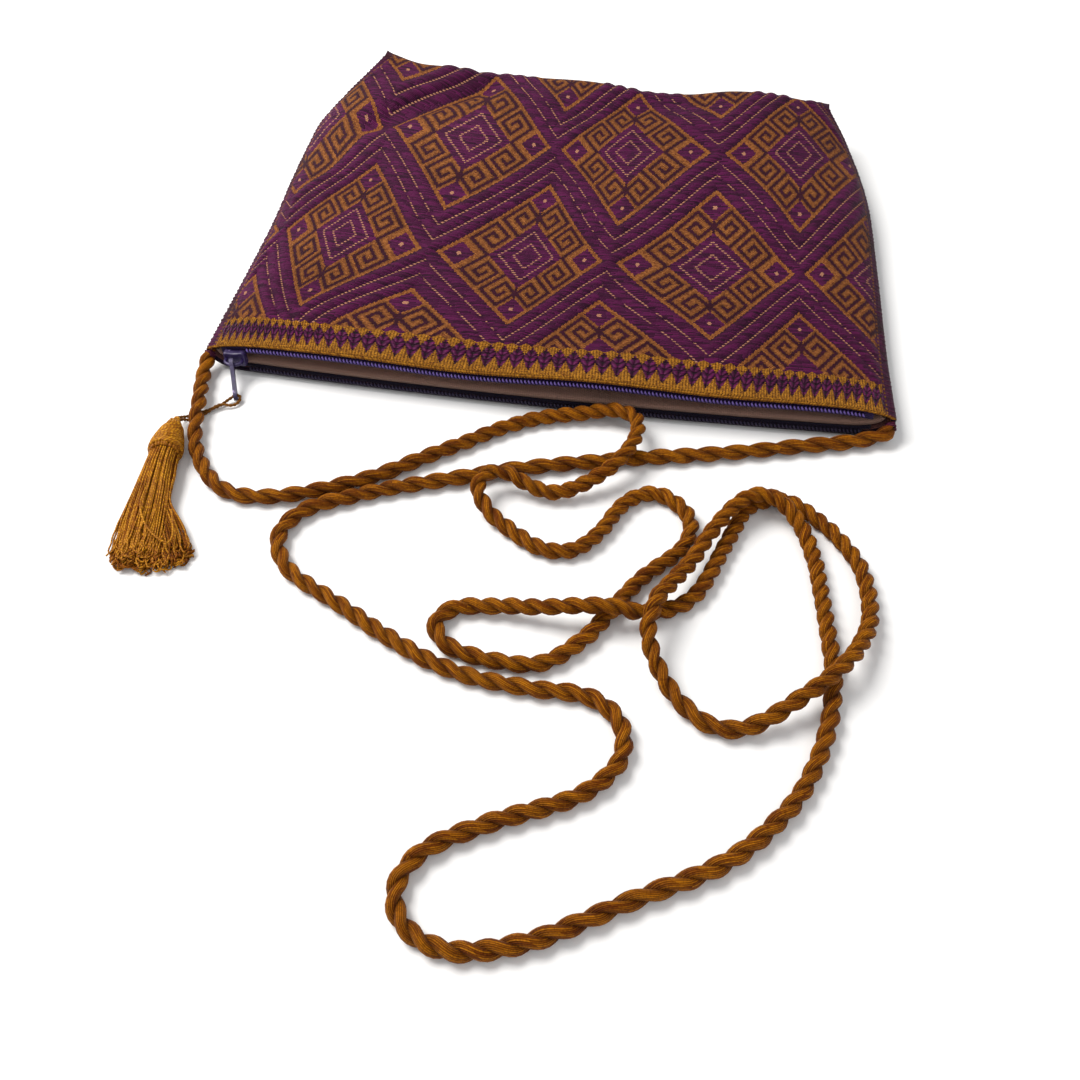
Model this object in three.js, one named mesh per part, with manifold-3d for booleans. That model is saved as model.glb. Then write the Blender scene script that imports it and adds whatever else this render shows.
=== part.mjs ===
// Flat woven zip pouch with a twisted-rope strap and a tassel on the zip pull.
// Millimetres, +Z up. The pouch lies on its back panel (z = 0): X runs along
// the mouth, -Y is the open mouth, +Y the folded base.
import * as THREE from "three";
import Module from "manifold-3d";

// ---------------------------------------------------------------- dimensions
const WALL = 1.6; // woven cloth wall
const LINING_GAP = 1.6; // air between the cloth and the lining
const LINING_WALL = 1.0;
const LINING_START_TOP = 0.012; // share of the panel where the lining begins
const LINING_START_BOTTOM = 0.002;
const LINING_END = 0.96; // and where its own bottom seam is
const MOUTH_BOW_TOP = 4.0; // front lip stands this far out at mid mouth
const MOUTH_BOW_BOTTOM = 3.0; // back lip
const CROWN_POWER = 5; // how flat the front panel is across
const CROWN_ROUND = 0.6;
const FLAT_SHARE = 0.9; // share of the half width where the back lies flat
const BASE_BULGE_MID = 10; // how far the base panel stands out beyond the fold
const BASE_BULGE_CORNER = 4;
const BASE_MID_Z = 11; // height of the base panel's middle line
const ACROSS = 28; // facets across the panel

const TAPE_THICK = 0.9;
const TAPE_GAP = 0.4;
const TAPE_FRONT_BACK = 0.2; // the front tape hangs this far behind the front lip
const TAPE_FRONT_HANG = 2.6;
const TAPE_BACK_OUT = 0.2; // the back tape lies on the back lip
const TAPE_BACK_IN = 4.0;
const COIL_R = 0.85; // zip coil
const COIL_GAP = 0.3;
const ZIP_FROM = -0.88; // zip runs between these shares of the half mouth
const ZIP_TO = 0.925;

const SLIDER = { x: -100.0, y: -1.9, z: 6.5, long: 7.2, high: 5.4, deep: 2.6 };
const BAIL = { half: 2.6, out: 2.5, wire: 0.55 };
const PULL = { long: 10.75, thick: 1.2, endHalf: 2.0, midHalf: 1.2, tailHalf: 1.6, hole: 1.2 };
const PULL_DIRECTION = new THREE.Vector3(3.4, -9.2, -4.4).normalize();

const STRAP_D = 4.8;
const STRAP_STEPS = 84;
const TIE_D = 1.0;

// bounding-box centre of the pouch and its zip in the layout used below
const ORIGIN = new THREE.Vector3(-2.436, 79.666, 0);

// Side seams: share of the way from mouth to fold, seam position and height.
const LEFT_SIDE = [
  { t: 0.0, x: -110.4, seam: 7 },
  { t: 0.39, x: -110.9, seam: 6 },
  { t: 0.643, x: -112.3, seam: 7 },
  { t: 0.762, x: -111.7, seam: 9 },
  { t: 0.877, x: -105.5, seam: 13 },
  { t: 1.0, x: -92.2, seam: 22 },
];
const RIGHT_SIDE = [
  { t: 0.0, x: 107.4, seam: 7 },
  { t: 0.185, x: 105.7, seam: 7 },
  { t: 0.43, x: 104.5, seam: 7 },
  { t: 0.66, x: 102.7, seam: 8 },
  { t: 0.907, x: 94.4, seam: 12 },
  { t: 1.0, x: 86.9, seam: 18 },
];
// Height of the front panel along its middle.
const MIDDLE = [
  { t: 0.0, z: 13.6 },
  { t: 0.15, z: 14.6 },
  { t: 0.35, z: 16.5 },
  { t: 0.6, z: 19.0 },
  { t: 0.8, z: 21.5 },
  { t: 0.93, z: 23.3 },
  { t: 1.0, z: 23.5 },
];
// Fold between the front panel and the base, by share of the half width.
const FOLD = [
  { c: -1.0, y: 172.0 },
  { c: -0.78, y: 162.5 },
  { c: -0.5, y: 160.0 },
  { c: -0.18, y: 158.4 },
  { c: 0.17, y: 154.6 },
  { c: 0.435, y: 157.4 },
  { c: 0.85, y: 160.0 },
  { c: 1.0, y: 163.4 },
];
// Creases pressed into the front panel: a line, its depth and half width.
const DENTS = [
  { x0: -84, y0: 127, x1: -50, y1: 152, depth: 4.6, half: 7.5 },
  { x0: -6, y0: 138, x1: 34, y1: 152, depth: 1.6, half: 9 },
  { x0: 70, y0: 60, x1: 92, y1: 140, depth: 1.4, half: 9 },
];
const STATIONS = [0, 0.04, 0.1, 0.18, 0.27, 0.36, 0.45, 0.54, 0.62, 0.69, 0.75, 0.81, 0.86, 0.905, 0.945, 0.975, 1];
const BASE_ANGLES = [18, 38, 58, 80]; // degrees round the base panel

// Strap route: centre line from the left corner of the mouth to the right one.
const Z0 = STRAP_D / 2 + 0.15; // lying on the table
const STRAP_ROUTE = [
  // x, y, z
  [-109.9, -1.2, 4.3], [-109.4, -7.0, 3.2], [-106.4, -19.4, 3.95], [-104.2, -28.4, 3.85], [-99.6, -41.2, 2.7],
  [-87.5, -54.5, Z0], [-73.4, -55.8, Z0], [-46.9, -44.4, Z0], [-26.3, -29.0, Z0], [-3.8, -12.6, Z0],
  [11.6, -8.0, 3.4], [22.4, -7.0, 5.4], [28.8, -10.2, 6.7], [30.4, -17.6, 7.4], [27.4, -28.0, 7.6],
  [19.6, -37.0, 5.4], [8.6, -42.4, 3.4], [1.0, -41.6, 5.0], [-5.4, -39.6, 6.6], [-11.0, -41.0, 6.9],
  [-12.8, -46.2, 6.0], [-9.6, -51.4, 4.0], [-3.0, -56.6, 2.7], [8.9, -63.3, Z0], [17.7, -62.1, Z0],
  [23.7, -54.7, Z0], [30.2, -41.6, Z0], [37.3, -37.5, Z0], [43.4, -39.7, Z0], [48.2, -45.6, Z0],
  [48.3, -54.8, Z0], [36.4, -70.6, Z0], [23.2, -93.3, Z0], [14.2, -101.5, Z0], [4.0, -102.6, Z0],
  [-5.1, -101.6, Z0], [-12.0, -98.6, Z0], [-15.2, -93.0, Z0], [-11.4, -87.4, Z0], [-2.8, -86.0, 3.3],
  [10.0, -86.0, 5.5], [20.6, -85.6, 7.5], [29.6, -84.4, 7.7], [37.4, -82.7, 4.6], [44.0, -79.9, 2.65],
  [51.6, -73.6, Z0], [58.8, -54.8, Z0], [65.4, -38.2, Z0], [73.7, -34.4, Z0], [81.8, -38.3, Z0],
  [95.0, -54.5, Z0], [97.6, -75.6, 4.0], [90.8, -92.6, 7.5], [80.6, -103.6, 6.7], [66.6, -113.4, 3.2],
  [57.9, -113.3, 2.7], [47.6, -105.4, 3.7], [40.6, -92.0, 7.5], [41.4, -82.0, 9.0], [44.8, -74.6, 7.9],
  [50.4, -63.4, 6.3], [55.6, -51.4, 6.9], [64.3, -39.4, 7.8], [70.4, -37.9, 7.2], [76.2, -40.8, 5.3],
  [82.1, -50.9, 2.8], [86.1, -73.7, Z0], [88.1, -100.2, Z0], [81.3, -126.8, Z0], [65.9, -147.0, Z0],
  [41.7, -162.2, Z0], [19.8, -174.9, Z0], [3.4, -178.0, Z0], [-6.0, -173.0, Z0], [-8.4, -165.0, Z0],
  [-4.2, -156.4, Z0], [9.2, -147.6, Z0], [31.0, -135.6, Z0], [37.6, -125.0, Z0], [36.0, -115.9, Z0],
  [28.1, -110.0, Z0], [10.3, -109.4, Z0], [-3.2, -108.2, Z0], [-17.0, -104.0, Z0], [-40.3, -91.8, Z0],
  [-60.4, -79.8, Z0], [-65.3, -69.6, Z0], [-61.6, -60.0, Z0], [-48.9, -51.8, Z0], [-22.9, -40.9, Z0],
  [3.4, -31.4, Z0], [28.3, -24.6, Z0], [55.9, -17.8, Z0], [80.2, -11.0, Z0], [97.2, -6.0, 2.7],
  [105.0, -2.8, 4.0],
];
// Thin cord from the tassel, through the eye of the pull and back.
const TIE_ROUTE = [
  // x, y, z
  [-110.1, -31.0, 4.6], [-110.5, -27.9, 2.6], [-108.6, -24.9, 0.75], [-104.8, -22.0, 0.7], [-100.6, -18.5, 0.8],
  [-98.3, -15.8, 1.5], [-96.6, -14.9, 2.1], [-94.9, -14.5, 1.9], [-93.9, -15.8, 1.4], [-94.7, -17.8, 0.9],
  [-97.1, -19.3, 0.75], [-99.9, -20.3, 0.7], [-104.1, -23.5, 0.7], [-107.4, -26.3, 0.75], [-109.0, -28.6, 2.6],
  [-108.7, -31.0, 4.6],
];
// Tassel: distance along it, half width, half height, and its centre line.
const TASSEL_HEAD = [
  { s: 0.0, r: 1.4 },
  { s: 1.2, r: 2.1 },
  { s: 3.0, r: 2.6 },
  { s: 6.0, r: 3.4 },
  { s: 9.0, r: 4.1 },
  { s: 11.5, r: 4.5 },
  { s: 13.0, r: 4.5 },
  { s: 14.0, r: 4.3 },
];
const HEAD_TOP = new THREE.Vector3(-109.4, -31.8, 4.75);
const HEAD_AXIS = new THREE.Vector3(1.8, -13.9, 0).normalize();
const TASSEL_SKIRT = [
  { x: -107.5, y: -46.2, halfWide: 4.3, halfHigh: 4.2 },
  { x: -106.9, y: -51.0, halfWide: 4.8, halfHigh: 4.2 },
  { x: -105.9, y: -57.0, halfWide: 6.0, halfHigh: 3.8 },
  { x: -104.2, y: -64.0, halfWide: 7.8, halfHigh: 3.3 },
  { x: -102.2, y: -71.0, halfWide: 9.6, halfHigh: 2.8 },
  { x: -99.6, y: -78.0, halfWide: 11.2, halfHigh: 2.4 },
  { x: -97.4, y: -84.0, halfWide: 11.6, halfHigh: 2.1 },
  { x: -96.2, y: -87.0, halfWide: 11.2, halfHigh: 1.9 },
];

// ------------------------------------------------------------------- helpers
const wasm = await Module();
wasm.setup();

// Smooth curve through a table's rows that never overshoots them.
function along(rows, key, column, at) {
  const n = rows.length;
  if (at <= rows[0][key]) return rows[0][column];
  if (at >= rows[n - 1][key]) return rows[n - 1][column];
  let i = 0;
  while (at > rows[i + 1][key]) i++;
  const step = (k) => (rows[k + 1][column] - rows[k][column]) / (rows[k + 1][key] - rows[k][key]);
  const slope = (k) => {
    if (k === 0) return step(0);
    if (k === n - 1) return step(n - 2);
    const a = step(k - 1);
    const b = step(k);
    return a * b <= 0 ? 0 : (2 * a * b) / (a + b);
  };
  const h = rows[i + 1][key] - rows[i][key];
  const u = (at - rows[i][key]) / h;
  const u2 = u * u;
  const u3 = u2 * u;
  return (
    (2 * u3 - 3 * u2 + 1) * rows[i][column] +
    (u3 - 2 * u2 + u) * h * slope(i) +
    (3 * u2 - 2 * u3) * rows[i + 1][column] +
    (u3 - u2) * h * slope(i + 1)
  );
}

function dentDepth(x, y) {
  let sum = 0;
  for (const d of DENTS) {
    const ax = d.x1 - d.x0;
    const ay = d.y1 - d.y0;
    const u = ((x - d.x0) * ax + (y - d.y0) * ay) / (ax * ax + ay * ay);
    const k = THREE.MathUtils.clamp(u, 0, 1);
    const away = Math.hypot(x - d.x0 - k * ax, y - d.y0 - k * ay) / d.half;
    sum += d.depth * Math.exp(-away * away);
  }
  return sum;
}

// A point of the pouch's skin. c: -1 left seam to 1 right seam; t: 0 mouth to
// 1 fold; angle: degrees round the base; inset: how far inside the outer skin.
function skin(c, t, upper, inset, angle = 0) {
  const left = along(LEFT_SIDE, "t", "x", t);
  const right = along(RIGHT_SIDE, "t", "x", t);
  const seam = THREE.MathUtils.lerp(along(LEFT_SIDE, "t", "seam", t), along(RIGHT_SIDE, "t", "seam", t), (c + 1) / 2);
  const x = (left + right) / 2 + ((right - left) / 2 - inset) * c;
  const lip = -(upper ? MOUTH_BOW_TOP : MOUTH_BOW_BOTTOM) * (1 - c * c);
  const fold = along(FOLD, "c", "y", c);
  let y = THREE.MathUtils.lerp(lip, fold, t);
  let z;
  if (upper) {
    const crown = Math.pow(1 - Math.pow(Math.abs(c), CROWN_POWER), CROWN_ROUND);
    z = seam + (along(MIDDLE, "t", "z", t) - inset - seam) * crown;
    z -= dentDepth((left + right) / 2 + ((right - left) / 2) * c, y) * Math.min(1, crown * 1.2);
  } else {
    const s = Math.max(0, (Math.abs(c) - FLAT_SHARE) / (1 - FLAT_SHARE));
    z = inset + (seam - inset) * (1 - Math.sqrt(1 - s * s));
  }
  if (angle > 0) {
    const a = THREE.MathUtils.degToRad(angle);
    const edge = Math.pow(Math.abs(c), 6);
    const bulge = THREE.MathUtils.lerp(BASE_BULGE_MID, BASE_BULGE_CORNER, edge) - inset;
    const middle = THREE.MathUtils.lerp(BASE_MID_Z, seam, edge);
    y += bulge * Math.sin(a);
    z = middle + (z - middle) * Math.cos(a);
  }
  return new THREE.Vector3(x, y, z);
}

// Share of the half width at facet i, closer together towards the seams.
const shareAt = (i, n) => -Math.cos((Math.PI * i) / n);

// One closed loop round the pouch: over the top from left to right, then back.
function loopAt(t, inset, angle, n, under = t) {
  const loop = [];
  for (let i = 0; i <= n; i++) loop.push(skin(shareAt(i, n), t, true, inset, angle));
  for (let i = n - 1; i >= 1; i--) loop.push(skin(shareAt(i, n), under, false, inset, angle));
  return loop;
}

const panelLoops = (stations, inset) => stations.map((t) => loopAt(t, inset, 0, ACROSS));
const baseLoops = (inset) => BASE_ANGLES.map((a) => loopAt(1, inset, a, ACROSS));

function toGeometry(points, faces) {
  const flat = [];
  let volume = 0;
  const cross = new THREE.Vector3();
  for (const [a, b, c] of faces) volume += points[a].dot(cross.crossVectors(points[b], points[c]));
  for (const [a, b, c] of faces) {
    const order = volume > 0 ? [a, b, c] : [a, c, b];
    for (const k of order) flat.push(points[k].x, points[k].y, points[k].z);
  }
  const geometry = new THREE.BufferGeometry();
  geometry.setAttribute("position", new THREE.Float32BufferAttribute(flat, 3));
  geometry.computeVertexNormals();
  return geometry;
}

// A bag-shaped shell: outer and inner loops, joined at the mouth, with the
// base closed by a strip between its top and bottom edges.
function bagShell(outer, inner) {
  const m = outer[0].length;
  const half = m / 2;
  const points = [...outer.flat(), ...inner.flat()];
  const base = outer.length * m;
  const faces = [];
  const quad = (a, b, c, d, flip) => {
    if (flip) [a, b, c, d] = [d, c, b, a];
    faces.push([a, b, c], [a, c, d]);
  };
  const walls = (start, count, flip) => {
    for (let r = 0; r + 1 < count; r++)
      for (let i = 0; i < m; i++) {
        const j = (i + 1) % m;
        quad(start + r * m + i, start + r * m + j, start + (r + 1) * m + j, start + (r + 1) * m + i, flip);
      }
  };
  const cap = (start, flip) => {
    const under = (i) => start + ((m - i) % m);
    for (let i = 0; i < half; i++) {
      const a = start + i;
      const b = start + i + 1;
      const c = i + 1 === half ? b : under(i + 1);
      const d = i === 0 ? a : under(i);
      const tri = (p, q, s) => faces.push(flip ? [p, s, q] : [p, q, s]);
      if (d === a) tri(a, b, c);
      else if (c === b) tri(a, b, d);
      else {
        tri(a, b, c);
        tri(a, c, d);
      }
    }
  };
  walls(0, outer.length, false);
  walls(base, inner.length, true);
  cap((outer.length - 1) * m, false);
  cap(base + (inner.length - 1) * m, true);
  for (let i = 0; i < m; i++) {
    const j = (i + 1) % m;
    quad(base + i, base + j, j, i, false);
  }
  return toGeometry(points, faces);
}

// A solid lofted through closed loops, flat at both ends.
function loft(loops) {
  const m = loops[0].length;
  const points = loops.flat();
  const faces = [];
  for (let r = 0; r + 1 < loops.length; r++)
    for (let i = 0; i < m; i++) {
      const j = (i + 1) % m;
      const a = r * m;
      const b = (r + 1) * m;
      faces.push([a + i, a + j, b + j], [a + i, b + j, b + i]);
    }
  const end = (loops.length - 1) * m;
  for (let i = 1; i + 1 < m; i++) faces.push([0, i + 1, i], [end, end + i, end + i + 1]);
  return toGeometry(points, faces);
}

// Curve whose steps follow its rows, so they are shorter in the bends.
class RowCurve extends THREE.CatmullRomCurve3 {
  getPointAt(u, target) {
    return this.getPoint(u, target);
  }
  getTangentAt(u, target) {
    return this.getTangent(u, target);
  }
}
const asVectors = (rows) => rows.map((r) => new THREE.Vector3(...r));

function tube(rows, diameter, steps, sides) {
  const section = new THREE.Shape();
  for (let i = 0; i <= sides; i++) {
    const a = (2 * Math.PI * i) / sides;
    const x = (diameter / 2) * Math.cos(a);
    const y = (diameter / 2) * Math.sin(a);
    if (i === 0) section.moveTo(x, y);
    else section.lineTo(x, y);
  }
  return new THREE.ExtrudeGeometry(section, { steps, bevelEnabled: false, extrudePath: new RowCurve(asVectors(rows)) });
}

function toSolid(geometry) {
  const flat = (geometry.index ? geometry.toNonIndexed() : geometry).getAttribute("position").array;
  const index = new Map();
  const vertices = [];
  const triangles = [];
  for (let i = 0; i < flat.length; i += 3) {
    const key = [flat[i], flat[i + 1], flat[i + 2]].map((v) => Math.round(v * 1e4)).join();
    if (!index.has(key)) {
      index.set(key, vertices.length / 3);
      vertices.push(flat[i], flat[i + 1], flat[i + 2]);
    }
    triangles.push(index.get(key));
  }
  return new wasm.Manifold(
    new wasm.Mesh({ numProp: 3, vertProperties: new Float32Array(vertices), triVerts: new Uint32Array(triangles) }),
  );
}

function fromSolid(solid) {
  const mesh = solid.getMesh();
  const geometry = new THREE.BufferGeometry();
  const xyz = [];
  for (let i = 0; i < mesh.vertProperties.length; i += mesh.numProp)
    xyz.push(mesh.vertProperties[i], mesh.vertProperties[i + 1], mesh.vertProperties[i + 2]);
  geometry.setAttribute("position", new THREE.Float32BufferAttribute(xyz, 3));
  geometry.setIndex(Array.from(mesh.triVerts));
  geometry.computeVertexNormals();
  return geometry;
}

// ---------------------------------------------------------------------- parts
// Zip tape: a strip that follows one lip of the mouth.
const ZIP_SPANS = 30;
const zipShare = (i) => THREE.MathUtils.lerp(ZIP_FROM, ZIP_TO, i / ZIP_SPANS);
function frontTapeAt(c) {
  const lip = skin(c, 0, true, WALL);
  const from = lip.y + TAPE_FRONT_BACK;
  const high = lip.z - TAPE_GAP;
  return { x: lip.x, from, to: from + TAPE_THICK, high, low: high - TAPE_FRONT_HANG };
}
function backTapeAt(c) {
  const lip = skin(c, 0, false, WALL);
  const low = lip.z + TAPE_GAP;
  return { x: lip.x, from: lip.y - TAPE_BACK_OUT, to: lip.y + TAPE_BACK_IN, high: low + TAPE_THICK, low };
}
function tape(stripAt) {
  const loops = [];
  for (let i = 0; i <= ZIP_SPANS; i++) {
    const s = stripAt(zipShare(i));
    loops.push([
      new THREE.Vector3(s.x, s.from, s.high),
      new THREE.Vector3(s.x, s.to, s.high),
      new THREE.Vector3(s.x, s.to, s.low),
      new THREE.Vector3(s.x, s.from, s.low),
    ]);
  }
  return loft(loops);
}
function coil(pointAt) {
  const rows = [];
  for (let i = 0; i <= ZIP_SPANS; i++) rows.push(pointAt(zipShare(i)));
  return tube(rows, 2 * COIL_R, ZIP_SPANS, 8);
}
// The front coil lies on the face of its tape, near its lower edge; the back
// one lies along the edge of its tape.
const frontCoil = (c) => {
  const s = frontTapeAt(c);
  return [s.x, s.from - COIL_GAP - COIL_R, s.low + 0.5];
};
const backCoil = (c) => {
  const s = backTapeAt(c);
  return [s.x, s.from - COIL_GAP - COIL_R, (s.low + s.high) / 2];
};

// Slider: a waisted plate with a bail for the pull on its face.
function slider() {
  const { long, high, deep } = SLIDER;
  const outline = new THREE.Shape();
  outline.moveTo(-long / 2, -high * 0.3);
  outline.quadraticCurveTo(-long / 2, -high * 0.42, -long * 0.36, -high * 0.42);
  outline.quadraticCurveTo(0, -high * 0.36, long * 0.3, -high / 2);
  outline.quadraticCurveTo(long / 2, -high / 2, long / 2, -high * 0.3);
  outline.lineTo(long / 2, high * 0.3);
  outline.quadraticCurveTo(long / 2, high / 2, long * 0.3, high / 2);
  outline.quadraticCurveTo(0, high * 0.36, -long * 0.36, high * 0.42);
  outline.quadraticCurveTo(-long / 2, high * 0.42, -long / 2, high * 0.3);
  const bevel = 0.5;
  const plate = new THREE.ExtrudeGeometry(outline, {
    depth: deep - 2 * bevel,
    bevelEnabled: true,
    bevelThickness: bevel,
    bevelSize: bevel,
    bevelOffset: -bevel,
    bevelSegments: 2,
    curveSegments: 6,
  });
  plate.translate(0, 0, -deep / 2 + bevel);
  plate.rotateX(Math.PI / 2);
  plate.translate(SLIDER.x, SLIDER.y, SLIDER.z);
  const face = SLIDER.y - deep / 2;
  const { half, out, wire } = BAIL;
  const arch = [
    [-half, 0.8], [-half, -out * 0.55], [-half * 0.5, -out * 0.95], [0, -out], [half * 0.5, -out * 0.95], [half, -out * 0.55], [half, 0.8],
  ].map(([dx, dy]) => [SLIDER.x + dx, face + dy, SLIDER.z]);
  return fromSolid(toSolid(plate).add(toSolid(tube(arch, 2 * wire, 18, 8))));
}

// Pull: a thin bar on edge with a hole for the bail and an eye for the tie.
function pull() {
  const { long, thick, endHalf, midHalf, tailHalf, hole } = PULL;
  const outline = new THREE.Shape();
  outline.absarc(0, 0, endHalf, Math.PI * 0.3, Math.PI * 1.7, false);
  outline.bezierCurveTo(endHalf * 1.4, -midHalf, long * 0.3, -midHalf, long * 0.5, -midHalf);
  outline.bezierCurveTo(long * 0.75, -midHalf, long - tailHalf, -tailHalf, long, -tailHalf);
  outline.absarc(long, 0, tailHalf, -Math.PI / 2, Math.PI / 2, false);
  outline.bezierCurveTo(long - tailHalf, tailHalf, long * 0.75, midHalf, long * 0.5, midHalf);
  outline.bezierCurveTo(long * 0.3, midHalf, endHalf * 1.4, midHalf, endHalf * Math.cos(Math.PI * 0.3), endHalf * Math.sin(Math.PI * 0.3));
  for (const at of [0, long]) {
    const eye = new THREE.Path();
    eye.absarc(at, 0, at === 0 ? hole : hole * 0.9, 0, 2 * Math.PI, true);
    outline.holes.push(eye);
  }
  const geometry = new THREE.ExtrudeGeometry(outline, { depth: thick, bevelEnabled: false, curveSegments: 10 });
  geometry.translate(0, 0, -thick / 2);
  const across = new THREE.Vector3().crossVectors(new THREE.Vector3(0, 0, 1), PULL_DIRECTION).normalize();
  const up = new THREE.Vector3().crossVectors(PULL_DIRECTION, across).normalize();
  geometry.applyMatrix4(new THREE.Matrix4().makeBasis(PULL_DIRECTION, up, new THREE.Vector3().crossVectors(PULL_DIRECTION, up)));
  geometry.translate(SLIDER.x, SLIDER.y - SLIDER.deep / 2 - BAIL.out, SLIDER.z);
  return geometry;
}

function ovalLoop(centre, side, halfWide, halfHigh, count) {
  const loop = [];
  for (let i = 0; i < count; i++) {
    const a = (2 * Math.PI * i) / count;
    loop.push(
      centre
        .clone()
        .addScaledVector(side, halfWide * Math.cos(a))
        .add(new THREE.Vector3(0, 0, halfHigh * Math.sin(a))),
    );
  }
  return loop;
}
function tasselHead() {
  const side = new THREE.Vector3(-HEAD_AXIS.y, HEAD_AXIS.x, 0);
  return loft(TASSEL_HEAD.map((row) => ovalLoop(HEAD_TOP.clone().addScaledVector(HEAD_AXIS, row.s), side, row.r, row.r, 20)));
}
function tasselSkirt() {
  return loft(
    TASSEL_SKIRT.map((row, i) => {
      const a = TASSEL_SKIRT[Math.max(0, i - 1)];
      const b = TASSEL_SKIRT[Math.min(TASSEL_SKIRT.length - 1, i + 1)];
      const axis = new THREE.Vector3(b.x - a.x, b.y - a.y, 0).normalize();
      const side = new THREE.Vector3(-axis.y, axis.x, 0);
      return ovalLoop(new THREE.Vector3(row.x, row.y, row.halfHigh + 0.25), side, row.halfWide, row.halfHigh, 24);
    }),
  );
}

const clothLoops = (inset) => [...panelLoops(STATIONS, inset), ...baseLoops(inset)];
const liningStations = STATIONS.filter((t) => t > LINING_START_TOP && t < LINING_END);
const liningLoops = (inset) => [
  loopAt(LINING_START_TOP, inset, 0, ACROSS, LINING_START_BOTTOM),
  ...panelLoops([...liningStations, LINING_END - 0.006 * (inset - WALL - LINING_GAP)], inset),
];

const PARTS = [
  // name, geometry, colour, roughness, metalness
  ["bag_body", bagShell(clothLoops(0), clothLoops(WALL)), 0x6b2c4a, 0.85, 0],
  ["lining", bagShell(liningLoops(WALL + LINING_GAP), liningLoops(WALL + LINING_GAP + LINING_WALL)), 0x6e5041, 0.8, 0],
  ["zip_tape_front", tape(frontTapeAt), 0x2d1845, 0.8, 0],
  ["zip_tape_back", tape(backTapeAt), 0x1e1230, 0.8, 0],
  ["zip_coil_front", coil(frontCoil), 0x3c1f6e, 0.4, 0],
  ["zip_coil_back", coil(backCoil), 0x32195c, 0.4, 0],
  ["zip_slider", slider(), 0x4a3a86, 0.35, 0.6],
  ["zip_pull", pull(), 0x6a5c9c, 0.35, 0.6],
  ["pull_tie", tube(TIE_ROUTE, TIE_D, 40, 8), 0x8a5a18, 0.85, 0],
  ["tassel_head", tasselHead(), 0xa0691a, 0.8, 0],
  ["tassel_skirt", tasselSkirt(), 0xa8701c, 0.8, 0],
  ["strap", tube(STRAP_ROUTE, STRAP_D, STRAP_STEPS, 8), 0x9c6618, 0.85, 0],
];

const pouch = new THREE.Group();
pouch.name = "pouch";
const layout = new THREE.Group();
layout.name = "layout";
layout.position.copy(ORIGIN).negate();
for (const [name, geometry, color, roughness, metalness] of PARTS) {
  const mesh = new THREE.Mesh(geometry, new THREE.MeshStandardMaterial({ color, roughness, metalness }));
  mesh.name = name;
  mesh.material.name = name;
  layout.add(mesh);
}
pouch.add(layout);

export default pouch;
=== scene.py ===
import math

import bmesh
import bpy
import numpy as np
from mathutils import Matrix, Vector


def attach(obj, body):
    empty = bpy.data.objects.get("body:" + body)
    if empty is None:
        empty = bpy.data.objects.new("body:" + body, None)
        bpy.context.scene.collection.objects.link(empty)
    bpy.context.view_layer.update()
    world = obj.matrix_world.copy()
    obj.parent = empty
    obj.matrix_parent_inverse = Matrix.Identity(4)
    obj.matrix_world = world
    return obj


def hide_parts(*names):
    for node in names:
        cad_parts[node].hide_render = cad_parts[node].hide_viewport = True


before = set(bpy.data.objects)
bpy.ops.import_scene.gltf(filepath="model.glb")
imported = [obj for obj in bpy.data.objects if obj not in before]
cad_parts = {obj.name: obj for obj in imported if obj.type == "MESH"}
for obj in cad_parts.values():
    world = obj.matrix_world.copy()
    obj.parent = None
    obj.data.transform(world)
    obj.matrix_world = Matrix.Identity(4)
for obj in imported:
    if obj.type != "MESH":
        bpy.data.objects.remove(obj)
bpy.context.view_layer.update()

MM = 0.001
ORIGIN = np.array([-2.436, 79.666, 0.0])  # layout millimetres -> the shared frame
RNG = np.random.default_rng(7)


def to_row(points):
    return (np.asarray(points, float) - ORIGIN) * MM


# ------------------------------------------------------------------ bag form
LEFT_SIDE = [(0, -110.4, 7), (0.39, -110.9, 6), (0.643, -112.3, 7), (0.762, -111.7, 9), (0.877, -105.5, 13), (1, -92.2, 22)]
RIGHT_SIDE = [(0, 107.4, 7), (0.185, 105.7, 7), (0.43, 104.5, 7), (0.66, 102.7, 8), (0.907, 94.4, 12), (1, 86.9, 18)]
MIDDLE = [(0, 13.6), (0.15, 14.6), (0.35, 16.5), (0.6, 19), (0.8, 21.5), (0.93, 23.3), (1, 23.5)]
FOLD = [(-1, 172), (-0.78, 162.5), (-0.5, 160), (-0.18, 158.4), (0.17, 154.6), (0.435, 157.4), (0.85, 160), (1, 163.4)]
DENTS = [(-84, 127, -50, 152, 4.6, 7.5), (-6, 138, 34, 152, 1.6, 9), (70, 60, 92, 140, 1.4, 9)]
BOW_TOP, BOW_BOTTOM = 4.0, 3.0
WALL, LINING_GAP, LINING_WALL = 1.6, 1.6, 1.0


def along(rows, col, at):
    rows = np.asarray(rows, float)
    k, v = rows[:, 0], rows[:, col]
    at = np.clip(np.asarray(at, float), k[0], k[-1])
    h = np.diff(k)
    s = np.diff(v) / h
    m = np.empty(len(k))
    m[0], m[-1] = s[0], s[-1]
    for i in range(1, len(k) - 1):
        m[i] = 0.0 if s[i - 1] * s[i] <= 0 else 2 * s[i - 1] * s[i] / (s[i - 1] + s[i])
    i = np.clip(np.searchsorted(k, at, side="right") - 1, 0, len(k) - 2)
    u = (at - k[i]) / h[i]
    return (
        v[i] * (1 + 2 * u) * (1 - u) ** 2
        + h[i] * m[i] * u * (1 - u) ** 2
        + v[i + 1] * u * u * (3 - 2 * u)
        + h[i] * m[i + 1] * u * u * (u - 1)
    )


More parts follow.
